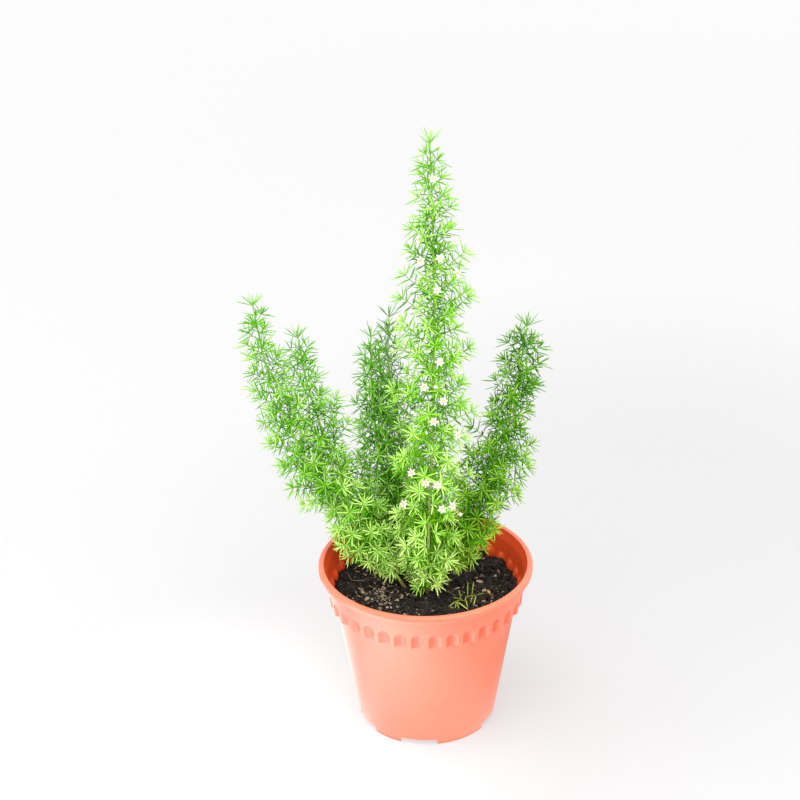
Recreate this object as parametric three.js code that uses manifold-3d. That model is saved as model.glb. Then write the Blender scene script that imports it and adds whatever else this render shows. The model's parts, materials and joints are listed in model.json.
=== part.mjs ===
// Foxtail fern in its nursery pot: a fluted plastic pot, potting soil, six leafy plumes,
// the small white blooms of the tallest plume, a young shoot and a fertiliser prill.
// Millimetres, +Z up. While it is built the pot's axis is x = y = 0 and the front is -Y;
// at the end everything moves so that the origin is the middle of the whole plant's footprint.

import * as THREE from 'three';
import { mergeVertices } from 'three/addons/utils/BufferGeometryUtils.js';
import Module from 'manifold-3d';

const wasm = await Module();
wasm.setup();

// ---------------------------------------------------------------- driving dimensions

const GAP = 0.3;
const SIDES = 36;
const GOLDEN_ANGLE = THREE.MathUtils.degToRad(137.5);

const POT = {
  height: 129.8,
  wall: 1.6,
  footRadius: 51.6,
  footHeight: 5,
  footWidth: 3,
  bodyTopRadius: 67.8,
  collarBottom: 98,
  collarBottomRadius: 72,
  collarTopRadius: 75,
  lipHeight: 5.5,
  lipRadius: 80,
  lipInnerRadius: 75.6,
};

// The collar leans outwards, so the flutes' deepest line stands `outset` out from its lower edge.
const FLUTE = { width: 9.3, depth: 2.6, top: 111, below: 2, outset: 0.6, ribLift: 1.3 };

const NOTCH = { width: 27.6, height: 4.6, depth: 14, anglesDeg: [-62, -7, 68, 140, 212] };

const DRAIN = { radius: 5, ring: 34, count: 5 };

const SOIL = { level: 106, relief: 0.8, mound: 2, moundRadius: 30, radius: 67.7, holeDepth: 24 };

const STEM = { baseRadius: 1.7, tipRadius: 0.6, sides: 5, steps: 8 };

// Twigs start just above the soil. They leave the stem widely at its base and narrowly near its top,
// and no two are quite alike; one longer than `twoWhorls` has a second whorl. Angles are in radians.
const TWIG = {
  radius: 0.75, shortest: 4.5, twoWhorls: 10, low: 0.03, topGap: 13, baseTilt: 1.25, topTilt: 0.8,
  tiltSpread: 0.15, lengthSpread: 0.24, bends: [0, 0.35, -0.35, 0.7, -0.7],
};

// A needle's root is a triangle about as wide as it is high. Whorled needles stand `tilt` away from
// their twig at its end and `lowTilt` halfway along it, and `overhang` of their length is sideways.
const NEEDLE = {
  length: 12.5, root: 1.3, last: 10, tilt: 0.95, lowTilt: 1.1, overhang: 0.62, tiltSpread: 0.3,
  lengthSpread: 0.3, bends: [0, 0.25, -0.25],
};

// The stem's own end is a leading twig with a short last needle.
const CROWN = { length: 14, last: 5 };

// Each plume's stem passes through these points, from the soil to its topmost whorl.
// Its reach is how far the needles stand out from the stem: [share of the height, mm].
const PLUMES = [
  {
    name: 'plume_front', color: 0x7ec850, seed: 11, twigs: 45, base: [1, -9],
    stem: [[2, -9, 144], [7, -9, 268], [8, -8, 374], [6, -8, 460]],
    reach: [[0, 17], [0.1, 26], [0.28, 33], [0.5, 32], [0.66, 28], [0.78, 21], [0.88, 16], [1, 11]],
  },
  {
    name: 'plume_left_outer', color: 0x6dbb42, seed: 23, twigs: 28, base: [-12, -3],
    stem: [[-45, 0, 150], [-82, 2, 206], [-109, 5, 275], [-120, 8, 336]],
    reach: [[0, 17], [0.2, 24], [0.6, 23], [0.8, 20], [1, 11]],
  },
  {
    name: 'plume_left_inner', color: 0x69b640, seed: 37, twigs: 25, base: [-8, 6],
    stem: [[-30, 6, 136], [-62, 12, 197], [-84, 17, 269], [-90, 20, 305]],
    reach: [[0, 17], [0.2, 25], [0.6, 25], [0.85, 18], [1, 11]],
  },
  {
    name: 'plume_back_left', color: 0x5aa83a, seed: 41, twigs: 23, base: [-2, 14],
    stem: [[-18, 16, 139], [-33, 24, 205], [-38, 32, 262], [-38, 38, 297]],
    reach: [[0, 16], [0.2, 24], [0.6, 23], [0.85, 16], [1, 11]],
  },
  {
    name: 'plume_back', color: 0x4f9a44, seed: 53, twigs: 21, base: [7, 11],
    stem: [[-4, 22, 139], [-18, 38, 210], [-26, 52, 270], [-25, 62, 302]],
    reach: [[0, 16], [0.2, 23], [0.6, 22], [0.85, 14], [1, 10]],
  },
  {
    name: 'plume_right', color: 0x58a636, seed: 67, twigs: 27, base: [10, 1],
    stem: [[26, 5, 145], [50, 12, 200], [67, 20, 264], [75, 30, 308]],
    reach: [[0, 17], [0.2, 26], [0.6, 27], [0.85, 21], [1, 11]],
  },
];

// A stalk leaves the stem `drop` below its flower, which looks outwards and up and stays `inset`
// within the needles' reach.
const BLOOM = {
  radius: 3.5, valley: 1.2, cup: 0.6, rise: 1.1, pedicel: 2.8, drop: 6, inset: 2, up: 0.62,
};
// Open flowers and buds on the tall plume: [height, offset towards +X from the stem].
const FRONT_BLOOMS = [
  [438.5, 1.5], [396, -9.5], [393.5, 13.5], [381.5, -9], [383.5, 4], [371, 16], [362, 2], [310.5, 3.5],
  [292, -7], [281.5, 6.5], [266, 0], [252.5, 17.5], [224, -14.5], [217.5, -4], [215.5, 4.5],
  [196.5, -19], [195, 8.5], [195.5, 16],
];
const BACK_BLOOMS = { count: 5, from: 190, to: 400, across: 14 };
const FRONT_BUDS = [[370.5, -10], [292.5, 1], [271.5, -15], [185, 22]];
const BUD = { radius: 1.3, length: 3 };

const SHOOT = { base: [29, -22], lean: [-0.3, 0.2, 1], depth: 9, height: 9, needle: 11 };

const PRILL = { radius: 1.6, place: [47, -11] };

// ---------------------------------------------------------------- solids

// A repeatable stream of numbers from 0 to 1.
function randomStream(seed) {
  let state = seed;
  return () => {
    state = (state + 0x6d2b79f5) | 0;
    let mixed = Math.imul(state ^ (state >>> 15), 1 | state);
    mixed = (mixed + Math.imul(mixed ^ (mixed >>> 7), 61 | mixed)) ^ mixed;
    return ((mixed ^ (mixed >>> 14)) >>> 0) / 4294967296;
  };
}

// Turns a closed three.js geometry into a solid that can be joined and cut.
function solidOf(geometry) {
  const bare = geometry.clone();
  bare.deleteAttribute('normal');
  bare.deleteAttribute('uv');
  const merged = mergeVertices(bare, 1e-4);
  const index = merged.getIndex().array;
  const faces = [];
  for (let i = 0; i < index.length; i += 3) {
    const [a, b, c] = [index[i], index[i + 1], index[i + 2]];
    if (a !== b && b !== c && c !== a) {
      faces.push(a, b, c);
    }
  }
  const vertProperties = new Float32Array(merged.getAttribute('position').array);
  const triVerts = new Uint32Array(faces);
  return new wasm.Manifold(new wasm.Mesh({ numProp: 3, vertProperties, triVerts }));
}

function geometryOf(solid) {
  const mesh = solid.getMesh();
  const geometry = new THREE.BufferGeometry();
  geometry.setAttribute('position', new THREE.BufferAttribute(new Float32Array(mesh.vertProperties), 3));
  geometry.setIndex(new THREE.BufferAttribute(new Uint32Array(mesh.triVerts), 1));
  geometry.computeVertexNormals();
  return geometry;
}

// Joins neighbours first, so that a long list is fused in a few short rounds.
function joinMany(solids) {
  let round = solids;
  while (round.length > 1) {
    const next = [];
    for (let i = 0; i < round.length; i += 2) {
      next.push(i + 1 < round.length ? round[i].add(round[i + 1]) : round[i]);
    }
    round = next;
  }
  return round[0];
}

// A surface turned about Z from [radius, z] pairs that start and end on the axis.
function turned(profile) {
  const points = profile.map(([radius, z]) => new THREE.Vector2(radius, z));
  return new THREE.LatheGeometry(points, SIDES).rotateX(Math.PI / 2);
}

// A closed body of rings round a line of centres; a ring of radius 0 is a point.
function tapered(centres, radii, sides, reference = new THREE.Vector3(0.31, 0.17, 0.94)) {
  const positions = [];
  const rings = [];
  const side = new THREE.Vector3().copy(reference);
  centres.forEach((centre, i) => {
    const ahead = centres[Math.min(i + 1, centres.length - 1)];
    const behind = centres[Math.max(i - 1, 0)];
    const along = new THREE.Vector3().subVectors(ahead, behind).normalize();
    side.addScaledVector(along, -side.dot(along)).normalize();
    const across = new THREE.Vector3().crossVectors(along, side);
    const ring = [];
    const corners = radii[i] > 0 ? sides : 1;
    for (let k = 0; k < corners; k += 1) {
      const angle = (2 * Math.PI * k) / sides;
      const point = centre.clone();
      point.addScaledVector(side, radii[i] * Math.cos(angle));
      point.addScaledVector(across, radii[i] * Math.sin(angle));
      ring.push(positions.length / 3);
      positions.push(point.x, point.y, point.z);
    }
    rings.push(ring);
  });
  const faces = [];
  for (let i = 0; i + 1 < rings.length; i += 1) {
    const low = rings[i];
    const high = rings[i + 1];
    for (let k = 0; k < sides; k += 1) {
      const next = (k + 1) % sides;
      if (low.length > 1) {
        faces.push(low[k], low[next], high[k % high.length]);
      }
      if (high.length > 1) {
        faces.push(low[next % low.length], high[next], high[k]);
      }
    }
  }
  const first = rings[0];
  const last = rings[rings.length - 1];
  for (let k = 1; k + 1 < sides; k += 1) {
    if (first.length > 1) {
      faces.push(first[0], first[k + 1], first[k]);
    }
    if (last.length > 1) {
      faces.push(last[0], last[k], last[k + 1]);
    }
  }
  const geometry = new THREE.BufferGeometry();
  geometry.setAttribute('position', new THREE.Float32BufferAttribute(positions, 3));
  geometry.setIndex(faces);
  return solidOf(geometry);
}

// ---------------------------------------------------------------- pot

function potBody() {
  const { wall, footRadius, footHeight, footWidth, bodyTopRadius, collarBottom } = POT;
  const { collarBottomRadius, collarTopRadius, height, lipHeight, lipRadius, lipInnerRadius } = POT;
  const lipBottom = height - lipHeight;
  const step = 1.2;
  const outside = solidOf(turned([
    [0, 0],
    [footRadius, 0],
    [bodyTopRadius, collarBottom],
    [collarBottomRadius, collarBottom + step],
    [collarTopRadius, lipBottom],
    [lipRadius - step, lipBottom],
    [lipRadius, lipBottom + lipHeight / 2],
    [lipRadius - step, height - step / 2],
    [(lipRadius + lipInnerRadius) / 2, height],
    [0, height],
  ]));
  const floorTop = footHeight + wall;
  const inside = solidOf(turned([
    [0, floorTop],
    [footRadius - wall, floorTop],
    [bodyTopRadius - wall, collarBottom + wall],
    [collarBottomRadius - wall, collarBottom + 2 * wall],
    [collarTopRadius - wall, lipBottom],
    [lipInnerRadius, height - step],
    [lipInnerRadius + step, height + step],
    [0, height + step],
  ]));
  const recess = solidOf(turned([
    [0, -footHeight],
    [footRadius - footWidth, -footHeight],
    [footRadius - footWidth, footHeight],
    [0, footHeight],
  ]));
  return outside.subtract(inside).subtract(recess);
}

// The wall stands in at each flute and keeps its thickness, so the flutes show inside as ribs.
function collarRibs() {
  const { wall, collarBottom, collarBottomRadius, collarTopRadius, height, lipHeight } = POT;
  const middle = wall / 2;
  const bottom = collarBottom + FLUTE.ribLift;
  const withinWall = solidOf(turned([
    [0, bottom],
    [collarBottomRadius - middle, bottom],
    [collarTopRadius - middle, height - lipHeight],
    [0, height - lipHeight],
  ]));
  return joinMany(fluteRods(wall)).intersect(withinWall);
}

// Upright round-ended rods, one for each flute, set so that they bite into the collar.
function fluteRods(margin) {
  const { width, depth, top, below, outset } = FLUTE;
  const rodRadius = (width * width / 4 + depth * depth) / (2 * depth);
  const centreRing = POT.collarBottomRadius + outset - depth + rodRadius;
  const bottom = POT.collarBottom - below;
  const rods = [];
  for (let k = 0; k < SIDES; k += 1) {
    const angle = (2 * Math.PI * (k + 0.5)) / SIDES;
    const length = top - width / 2 - bottom;
    const rod = new THREE.CapsuleGeometry(rodRadius + margin, length, 1, 8);
    rod.rotateX(Math.PI / 2).rotateZ(angle);
    rod.translate(centreRing * Math.sin(angle), -centreRing * Math.cos(angle), bottom + length / 2);
    rods.push(solidOf(rod));
  }
  return rods;
}

function buildPot() {
  let pot = potBody().add(collarRibs()).subtract(joinMany(fluteRods(0)));
  for (const angleDeg of NOTCH.anglesDeg) {
    const cutter = new THREE.BoxGeometry(NOTCH.width, NOTCH.depth, 2 * NOTCH.height);
    cutter.translate(0, -POT.footRadius, 0).rotateZ(THREE.MathUtils.degToRad(angleDeg));
    pot = pot.subtract(solidOf(cutter));
  }
  for (let k = 0; k < DRAIN.count; k += 1) {
    const angle = (2 * Math.PI * k) / DRAIN.count;
    const drill = new THREE.CylinderGeometry(DRAIN.radius, DRAIN.radius, 4 * POT.wall, 8);
    drill.rotateX(Math.PI / 2).translate(DRAIN.ring, 0, POT.footHeight).rotateZ(angle);
    pot = pot.subtract(solidOf(drill));
  }
  return pot;
}

// ---------------------------------------------------------------- soil

// Waves of two sizes make the soil uneven, and it is heaped a little round the stems.
function soilHeight(x, y) {
  const waves = Math.sin(x / 5.1 + 0.4) * Math.cos(y / 4.3) + 0.6 * Math.sin(x / 9.7 - y / 7.9);
  const heap = Math.exp(-(x * x + y * y) / SOIL.moundRadius ** 2);
  return SOIL.level + SOIL.relief * waves + SOIL.mound * heap;
}

function buildSoil(holes) {
  const { wall, footRadius, footHeight, bodyTopRadius, collarBottom } = POT;
  const clear = wall + GAP;
  const floor = footHeight + wall + GAP;
  const shoulder = collarBottom + 2 * wall + GAP;
  const ledgeRadius = bodyTopRadius - clear;
  const profile = [
    [0, floor],
    [footRadius - clear, floor],
    [ledgeRadius, collarBottom + wall],
    [SOIL.radius, shoulder],
    [SOIL.radius, SOIL.level],
  ];
  for (let ring = 2; ring >= 0; ring -= 1) {
    profile.push([(SOIL.radius * ring) / 3, SOIL.level]);
  }
  const plug = turned(profile);
  const place = plug.getAttribute('position');
  for (let i = 0; i < place.count; i += 1) {
    if (place.getZ(i) > SOIL.level - 0.01) {
      place.setZ(i, soilHeight(place.getX(i), place.getY(i)));
    }
  }
  let soil = solidOf(plug);
  for (const hole of holes) {
    soil = soil.subtract(hole);
  }
  return soil;
}

// ---------------------------------------------------------------- space kept between pieces

// Shortest distance between two straight rods' centre lines.
function rodDistance(p, q) {
  const d1 = new THREE.Vector3().subVectors(p.b, p.a);
  const d2 = new THREE.Vector3().subVectors(q.b, q.a);
  const r = new THREE.Vector3().subVectors(p.a, q.a);
  const a = Math.max(d1.dot(d1), 1e-9);
  const e = Math.max(d2.dot(d2), 1e-9);
  const b = d1.dot(d2);
  const c = d1.dot(r);
  const f = d2.dot(r);
  const spread = a * e - b * b;
  let s = spread > 1e-9 ? THREE.MathUtils.clamp((b * f - c * e) / spread, 0, 1) : 0;
  const t = THREE.MathUtils.clamp((b * s + f) / e, 0, 1);
  s = THREE.MathUtils.clamp((b * t - c) / a, 0, 1);
  const onP = p.a.clone().addScaledVector(d1, s);
  const onQ = q.a.clone().addScaledVector(d2, t);
  return onP.distanceTo(onQ);
}

// Rods already placed in the plant; a new rod has to stay clear of those of other owners.
const placed = [];

function isClear(rod) {
  return placed.every((other) => {
    if (other.hub === rod.hub || other.id === rod.on || other.on === rod.id) {
      return true;
    }
    const margin = other.owner === rod.owner ? 0.05 : GAP + 0.1;
    return rodDistance(rod, other) > rod.radius + other.radius + margin;
  });
}

// ---------------------------------------------------------------- plumes

function valueAt(table, share) {
  for (let i = 1; i < table.length; i += 1) {
    const [low, lowValue] = table[i - 1];
    const [high, highValue] = table[i];
    if (share <= high) {
      return THREE.MathUtils.lerp(lowValue, highValue, (share - low) / (high - low));
    }
  }
  return table[table.length - 1][1];
}

function stemCurve({ base: [x, y], stem }) {
  const bottom = SOIL.level - SOIL.holeDepth;
  const points = [[x, y, bottom], [x, y, SOIL.level - 6], ...stem];
  return new THREE.CatmullRomCurve3(points.map((point) => new THREE.Vector3(...point)), false, 'centripetal');
}

// The stem's centres and radii; a margin makes the hole that it stands in.
function stemBody(curve, margin) {
  const centres = curve.getSpacedPoints(STEM.steps);
  const radii = centres.map((_, i) => (
    THREE.MathUtils.lerp(STEM.baseRadius, STEM.tipRadius, i / STEM.steps) + margin
  ));
  return { centres, radii };
}

function holeFor(plume) {
  const { centres, radii } = stemBody(stemCurve(plume), GAP);
  const cut = centres.findIndex((centre) => centre.z > SOIL.level + 12);
  const bottom = centres[0].clone();
  bottom.z -= GAP;
  return tapered([bottom, ...centres.slice(1, cut + 1)], radii.slice(0, cut + 1), STEM.sides);
}

// A direction tilted away from an axis and turned about it.
function fanned(axis, tilt, turn) {
  const side = new THREE.Vector3(0.37, -0.21, 0.9).cross(axis).normalize();
  side.applyAxisAngle(axis, turn);
  return axis.clone().multiplyScalar(Math.cos(tilt)).addScaledVector(side, Math.sin(tilt)).normalize();
}

// The tip of a needle that rises from a place on a twig. One that would cross another piece
// is bent clear, and where no bend clears it there is no needle.
function needleTip({ from, axis, tilt, turn, length, owner, hub, twig }) {
  for (const bend of NEEDLE.bends) {
    const tip = from.clone().addScaledVector(fanned(axis, tilt, turn + bend), length);
    const rod = { a: from, b: tip, radius: 0.55 * NEEDLE.root, owner, hub, id: '', on: twig };
    if (tip.z > SOIL.level + 4 && isClear(rod)) {
      placed.push(rod);
      return tip;
    }
  }
  return null;
}

// A twig is a three-sided rod. At a whorl its rings are turned against each other, which leaves six
// triangles round it, and a needle rises from each of them as a three-sided point.
function twigSolid({ root, axis, length, whorls, owner, id, random, last = NEEDLE.last }) {
  const positions = [];
  const faces = [];
  const addRing = (along, radius, phase) => {
    const ring = [];
    for (let k = 0; k < 3; k += 1) {
      const turn = phase + (2 * Math.PI * k) / 3;
      const point = root.clone().addScaledVector(axis, along);
      point.addScaledVector(fanned(axis, Math.PI / 2, turn), radius);
      ring.push(positions.push(point) - 1);
    }
    return ring;
  };
  const raise = (face, tip) => {
    const [p, q, r] = face;
    if (tip) {
      const top = positions.push(tip) - 1;
      faces.push([p, q, top], [q, r, top], [r, p, top]);
    } else {
      faces.push(face);
    }
  };
  let phase = random() * 2 * Math.PI;
  let below = addRing(0, TWIG.radius, phase);
  faces.push([below[0], below[2], below[1]]);
  whorls.forEach(({ share, tilt, size }, w) => {
    const middle = share * length - NEEDLE.root / 2;
    const low = addRing(middle - NEEDLE.root / 2, TWIG.radius, phase);
    const high = addRing(middle + NEEDLE.root / 2, TWIG.radius, phase + Math.PI / 3);
    for (let k = 0; k < 3; k += 1) {
      const next = (k + 1) % 3;
      faces.push([below[k], below[next], low[next]], [below[k], low[next], low[k]]);
      const hub = `${id}_${w}`;
      const from = root.clone().addScaledVector(axis, middle);
      [[low[k], low[next], high[k]], [low[next], high[next], high[k]]].forEach((face, half) => {
        const turn = phase + (Math.PI / 3) * (2 * k + 1 + half);
        const needle = { from, axis, turn, owner, hub, twig: id };
        needle.tilt = tilt + NEEDLE.tiltSpread * (random() - 0.5);
        needle.length = size * (0.97 + NEEDLE.lengthSpread * (random() - 0.5));
        raise(face, needleTip(needle));
      });
    }
    below = high;
    phase += Math.PI / 3;
  });
  raise(below, root.clone().addScaledVector(axis, length + last));
  const geometry = new THREE.BufferGeometry();
  geometry.setFromPoints(positions);
  geometry.setIndex(faces.flat());
  return solidOf(geometry);
}

function addStem(pieces, plume) {
  const curve = stemCurve(plume);
  const { centres, radii } = stemBody(curve, 0);
  pieces.push(tapered(centres, radii, STEM.sides));
  for (let i = 1; i < centres.length; i += 1) {
    const rod = { a: centres[i - 1], b: centres[i], radius: radii[i - 1] };
    placed.push({ ...rod, owner: plume.name, hub: plume.name, id: plume.name, on: 'soil' });
  }
  return curve;
}

// Share of the curve's length at which the stem leaves the soil.
function soilShare(curve) {
  let share = 0;
  while (curve.getPointAt(share).z < SOIL.level) {
    share += 0.002;
  }
  return share;
}

function addTwigs(pieces, plume, curve) {
  const { name, twigs, reach, seed } = plume;
  const random = randomStream(seed);
  const bare = soilShare(curve) + TWIG.low;
  const top = 1 - TWIG.topGap / curve.getLength();
  for (let i = 0; i < twigs; i += 1) {
    const share = THREE.MathUtils.lerp(bare, top, i / (twigs - 1));
    const height = (share - bare) / (1 - bare);
    const root = curve.getPointAt(share);
    const stemAxis = curve.getTangentAt(share);
    const meanTilt = THREE.MathUtils.lerp(TWIG.baseTilt, TWIG.topTilt, height);
    const tilt = meanTilt + TWIG.tiltSpread * (random() - 0.5);
    const full = (valueAt(reach, height) - NEEDLE.overhang * NEEDLE.length) / Math.sin(tilt);
    const length = Math.max(TWIG.shortest, full * (1 + TWIG.lengthSpread * (random() - 0.5)));
    const whorls = [{ share: 1, tilt: NEEDLE.tilt, size: NEEDLE.length }];
    if (length > TWIG.twoWhorls) {
      whorls.unshift({ share: 0.55, tilt: NEEDLE.lowTilt, size: 0.9 * NEEDLE.length });
    }
    for (const bend of TWIG.bends) {
      const axis = fanned(stemAxis, tilt, i * GOLDEN_ANGLE + bend);
      const end = root.clone().addScaledVector(axis, length + NEEDLE.last);
      const id = `${name}_${i}`;
      const rod = { a: root, b: end, radius: TWIG.radius, owner: name, hub: id, id, on: name };
      if (end.z > SOIL.level + 5 && isClear(rod)) {
        placed.push(rod);
        pieces.push(twigSolid({ root, axis, length, whorls, owner: name, id, random }));
        break;
      }
    }
  }
}

// The stem's own end carries two whorls and a last needle.
function addCrown(pieces, plume, curve) {
  const random = randomStream(plume.seed + 1);
  const { length, last } = CROWN;
  const root = curve.getPointAt(1 - length / curve.getLength());
  const axis = curve.getPointAt(1).sub(root).normalize();
  const whorls = [
    { share: 0.45, tilt: 1.15, size: 0.8 * NEEDLE.length },
    { share: 1, tilt: 0.8, size: NEEDLE.length },
  ];
  const id = plume.name;
  const end = root.clone().addScaledVector(axis, length + last);
  placed.push({ a: root, b: end, radius: TWIG.radius, owner: id, hub: id, id, on: 'soil' });
  pieces.push(twigSolid({ root, axis, length, whorls, owner: id, id, random, last }));
}

// ---------------------------------------------------------------- blooms

// A six-petalled star with a crease along each petal; behind it narrows to its pedicel's foot.
function starSolid(centre, facing) {
  const side = new THREE.Vector3(0, 0, 1).cross(facing).normalize();
  const up = new THREE.Vector3().crossVectors(facing, side);
  const points = [];
  for (let k = 0; k < 12; k += 1) {
    const petal = k % 2 === 0;
    const angle = (Math.PI * k) / 6;
    const radius = petal ? BLOOM.radius : BLOOM.valley;
    const point = centre.clone().addScaledVector(facing, petal ? BLOOM.cup : 0);
    point.addScaledVector(side, radius * Math.cos(angle)).addScaledVector(up, radius * Math.sin(angle));
    points.push(point);
  }
  const front = points.push(centre.clone().addScaledVector(facing, BLOOM.rise)) - 1;
  const foot = points.push(centre.clone().addScaledVector(facing, -BLOOM.pedicel)) - 1;
  const faces = [];
  for (let k = 0; k < 12; k += 2) {
    const before = (k + 11) % 12;
    faces.push(before, k, front, k, k + 1, front);
    faces.push(k + 1, k, before, k + 1, before, foot);
  }
  const geometry = new THREE.BufferGeometry().setFromPoints(points);
  geometry.setIndex(faces);
  return solidOf(geometry);
}

function stemPointAtHeight(curve, height) {
  let share = 1;
  while (curve.getPointAt(share).z > height) {
    share -= 0.002;
  }
  return curve.getPointAt(share);
}

// Sets a flower on its own stalk; the stalk belongs to the plume and stops just short of it.
function addFlower(plume, curve, stalks, { height, across, front, bud, name }) {
  const hub = stemPointAtHeight(curve, height - BLOOM.drop);
  const bare = SOIL.level;
  const share = (height - bare) / (curve.getPointAt(1).z - bare);
  const out = Math.max(valueAt(plume.reach, share) - BLOOM.inset, Math.abs(across) + TWIG.radius);
  const depth = Math.sqrt(out * out - across * across);
  const centre = new THREE.Vector3(hub.x + across, hub.y + (front ? -depth : depth), height);
  const facing = new THREE.Vector3(centre.x - hub.x, centre.y - hub.y, 0).normalize();
  facing.setZ(BLOOM.up).normalize();
  const back = centre.clone().addScaledVector(facing, -BLOOM.pedicel);
  const stalkEnd = back.clone().addScaledVector(facing, -GAP);
  const stalk = { a: hub, b: stalkEnd, radius: TWIG.radius, owner: plume.name, id: `${name}_stalk` };
  stalks.push(tapered([hub, stalkEnd], [TWIG.radius, TWIG.radius], 3));
  placed.push({ ...stalk, hub: `${name}_stalk`, on: plume.name });
  const size = bud ? BUD.radius : BLOOM.radius;
  placed.push({ a: centre, b: back, radius: size, owner: name, hub: name, id: name, on: 'stalk' });
  if (bud) {
    const tip = centre.clone().addScaledVector(facing, BUD.length / 2);
    return tapered([back, centre, tip], [0, BUD.radius, 0], 5);
  }
  return starSolid(centre, facing);
}

function flowerList() {
  const flowers = [];
  FRONT_BLOOMS.forEach(([height, across], i) => {
    flowers.push({ height, across, front: true, bud: false, name: `bloom_${i + 1}` });
  });
  const { count, from, to, across: most } = BACK_BLOOMS;
  for (let i = 0; i < count; i += 1) {
    const height = THREE.MathUtils.lerp(from, to, i / (count - 1));
    const across = most * Math.sin(i * GOLDEN_ANGLE) * (1 - (0.5 * i) / count);
    const name = `bloom_${FRONT_BLOOMS.length + i + 1}`;
    flowers.push({ height, across, front: false, bud: false, name });
  }
  FRONT_BUDS.forEach(([height, across], i) => {
    flowers.push({ height, across, front: true, bud: true, name: `bud_${i + 1}` });
  });
  return flowers;
}

// ---------------------------------------------------------------- small things on the soil

function buildShoot() {
  const [x, y] = SHOOT.base;
  const foot = new THREE.Vector3(x, y, SOIL.level - SHOOT.depth);
  const axis = new THREE.Vector3(...SHOOT.lean).normalize();
  const id = 'young_shoot';
  const length = SHOOT.depth + SHOOT.height;
  const end = foot.clone().addScaledVector(axis, length + NEEDLE.last);
  const whorls = [
    { share: 0.75, tilt: 1.35, size: SHOOT.needle },
    { share: 1, tilt: 0.9, size: SHOOT.needle },
  ];
  placed.push({ a: foot, b: end, radius: TWIG.radius, owner: id, hub: id, id, on: 'soil' });
  const shoot = twigSolid({ root: foot, axis, length, whorls, owner: id, id, random: randomStream(5) });
  const below = foot.clone().addScaledVector(axis, -GAP);
  const hole = tapered([below, end], [TWIG.radius + 3 * GAP, TWIG.radius + 3 * GAP], 6);
  return { shoot, hole };
}

function buildPrill() {
  const [x, y] = PRILL.place;
  const ball = new THREE.IcosahedronGeometry(PRILL.radius, 0);
  ball.translate(x, y, soilHeight(x, y) + PRILL.radius + GAP);
  return solidOf(ball);
}

// ---------------------------------------------------------------- the plant

const group = new THREE.Group();

function addPart(name, solid, color, roughness) {
  const material = new THREE.MeshStandardMaterial({ color, roughness, metalness: 0 });
  const mesh = new THREE.Mesh(geometryOf(solid), material);
  mesh.name = name;
  group.add(mesh);
}

const curves = new Map();
const parts = new Map();
for (const plume of PLUMES) {
  const pieces = [];
  curves.set(plume.name, addStem(pieces, plume));
  parts.set(plume.name, pieces);
}

const tall = PLUMES[0];
for (const flower of flowerList()) {
  const solid = addFlower(tall, curves.get(tall.name), parts.get(tall.name), flower);
  addPart(flower.name, solid, 0xf7f6ea, 0.6);
}

for (const plume of PLUMES) {
  addCrown(parts.get(plume.name), plume, curves.get(plume.name));
}
for (const plume of PLUMES) {
  addTwigs(parts.get(plume.name), plume, curves.get(plume.name));
  addPart(plume.name, joinMany(parts.get(plume.name)), plume.color, 0.55);
}

const { shoot, hole } = buildShoot();
addPart('pot', buildPot(), 0xf0866a, 0.5);
addPart('soil', buildSoil([...PLUMES.map(holeFor), hole]), 0x2b221b, 0.95);
addPart('young_shoot', shoot, 0x9cb84a, 0.6);
addPart('fertiliser_prill', buildPrill(), 0xe08a2c, 0.4);

const box = new THREE.Box3().setFromObject(group);
const middle = box.getCenter(new THREE.Vector3());
group.position.set(-middle.x, -middle.y, -box.min.z);

export default group;
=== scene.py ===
"""Foxtail fern in its nursery pot: the finished surfaces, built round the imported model.

Shapes are worked out in millimetres from the middle of the pot's foot, +Z up and the front towards
-Y, and placed() turns them into metres in the model's frame. Every random draw is seeded.
"""

import json
import math

import bmesh
import bpy
import numpy as np
from mathutils import Matrix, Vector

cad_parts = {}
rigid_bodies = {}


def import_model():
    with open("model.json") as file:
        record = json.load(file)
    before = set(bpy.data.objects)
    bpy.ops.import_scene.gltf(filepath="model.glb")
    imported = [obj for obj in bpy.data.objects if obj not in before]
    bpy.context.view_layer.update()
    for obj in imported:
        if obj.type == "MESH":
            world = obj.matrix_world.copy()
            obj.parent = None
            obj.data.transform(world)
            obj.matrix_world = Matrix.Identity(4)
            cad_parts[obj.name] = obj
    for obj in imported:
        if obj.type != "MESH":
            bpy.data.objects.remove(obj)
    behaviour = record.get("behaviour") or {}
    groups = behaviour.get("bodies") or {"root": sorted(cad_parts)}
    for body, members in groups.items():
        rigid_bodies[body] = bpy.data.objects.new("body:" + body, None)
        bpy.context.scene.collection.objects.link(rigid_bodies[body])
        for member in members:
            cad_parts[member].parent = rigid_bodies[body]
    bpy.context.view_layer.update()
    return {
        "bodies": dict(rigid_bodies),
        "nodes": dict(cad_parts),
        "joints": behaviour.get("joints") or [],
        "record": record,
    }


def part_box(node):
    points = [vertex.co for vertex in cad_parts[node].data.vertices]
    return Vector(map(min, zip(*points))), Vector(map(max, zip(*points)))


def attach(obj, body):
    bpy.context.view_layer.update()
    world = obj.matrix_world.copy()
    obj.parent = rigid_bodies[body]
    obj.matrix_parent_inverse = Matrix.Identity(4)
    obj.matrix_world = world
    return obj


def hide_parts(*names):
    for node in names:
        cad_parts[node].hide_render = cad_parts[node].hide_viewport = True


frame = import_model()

# ---------------------------------------------------------------- sizes

MM = 0.001
TURN = 2 * math.pi
GOLDEN_ANGLE = math.radians(137.5)

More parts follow.
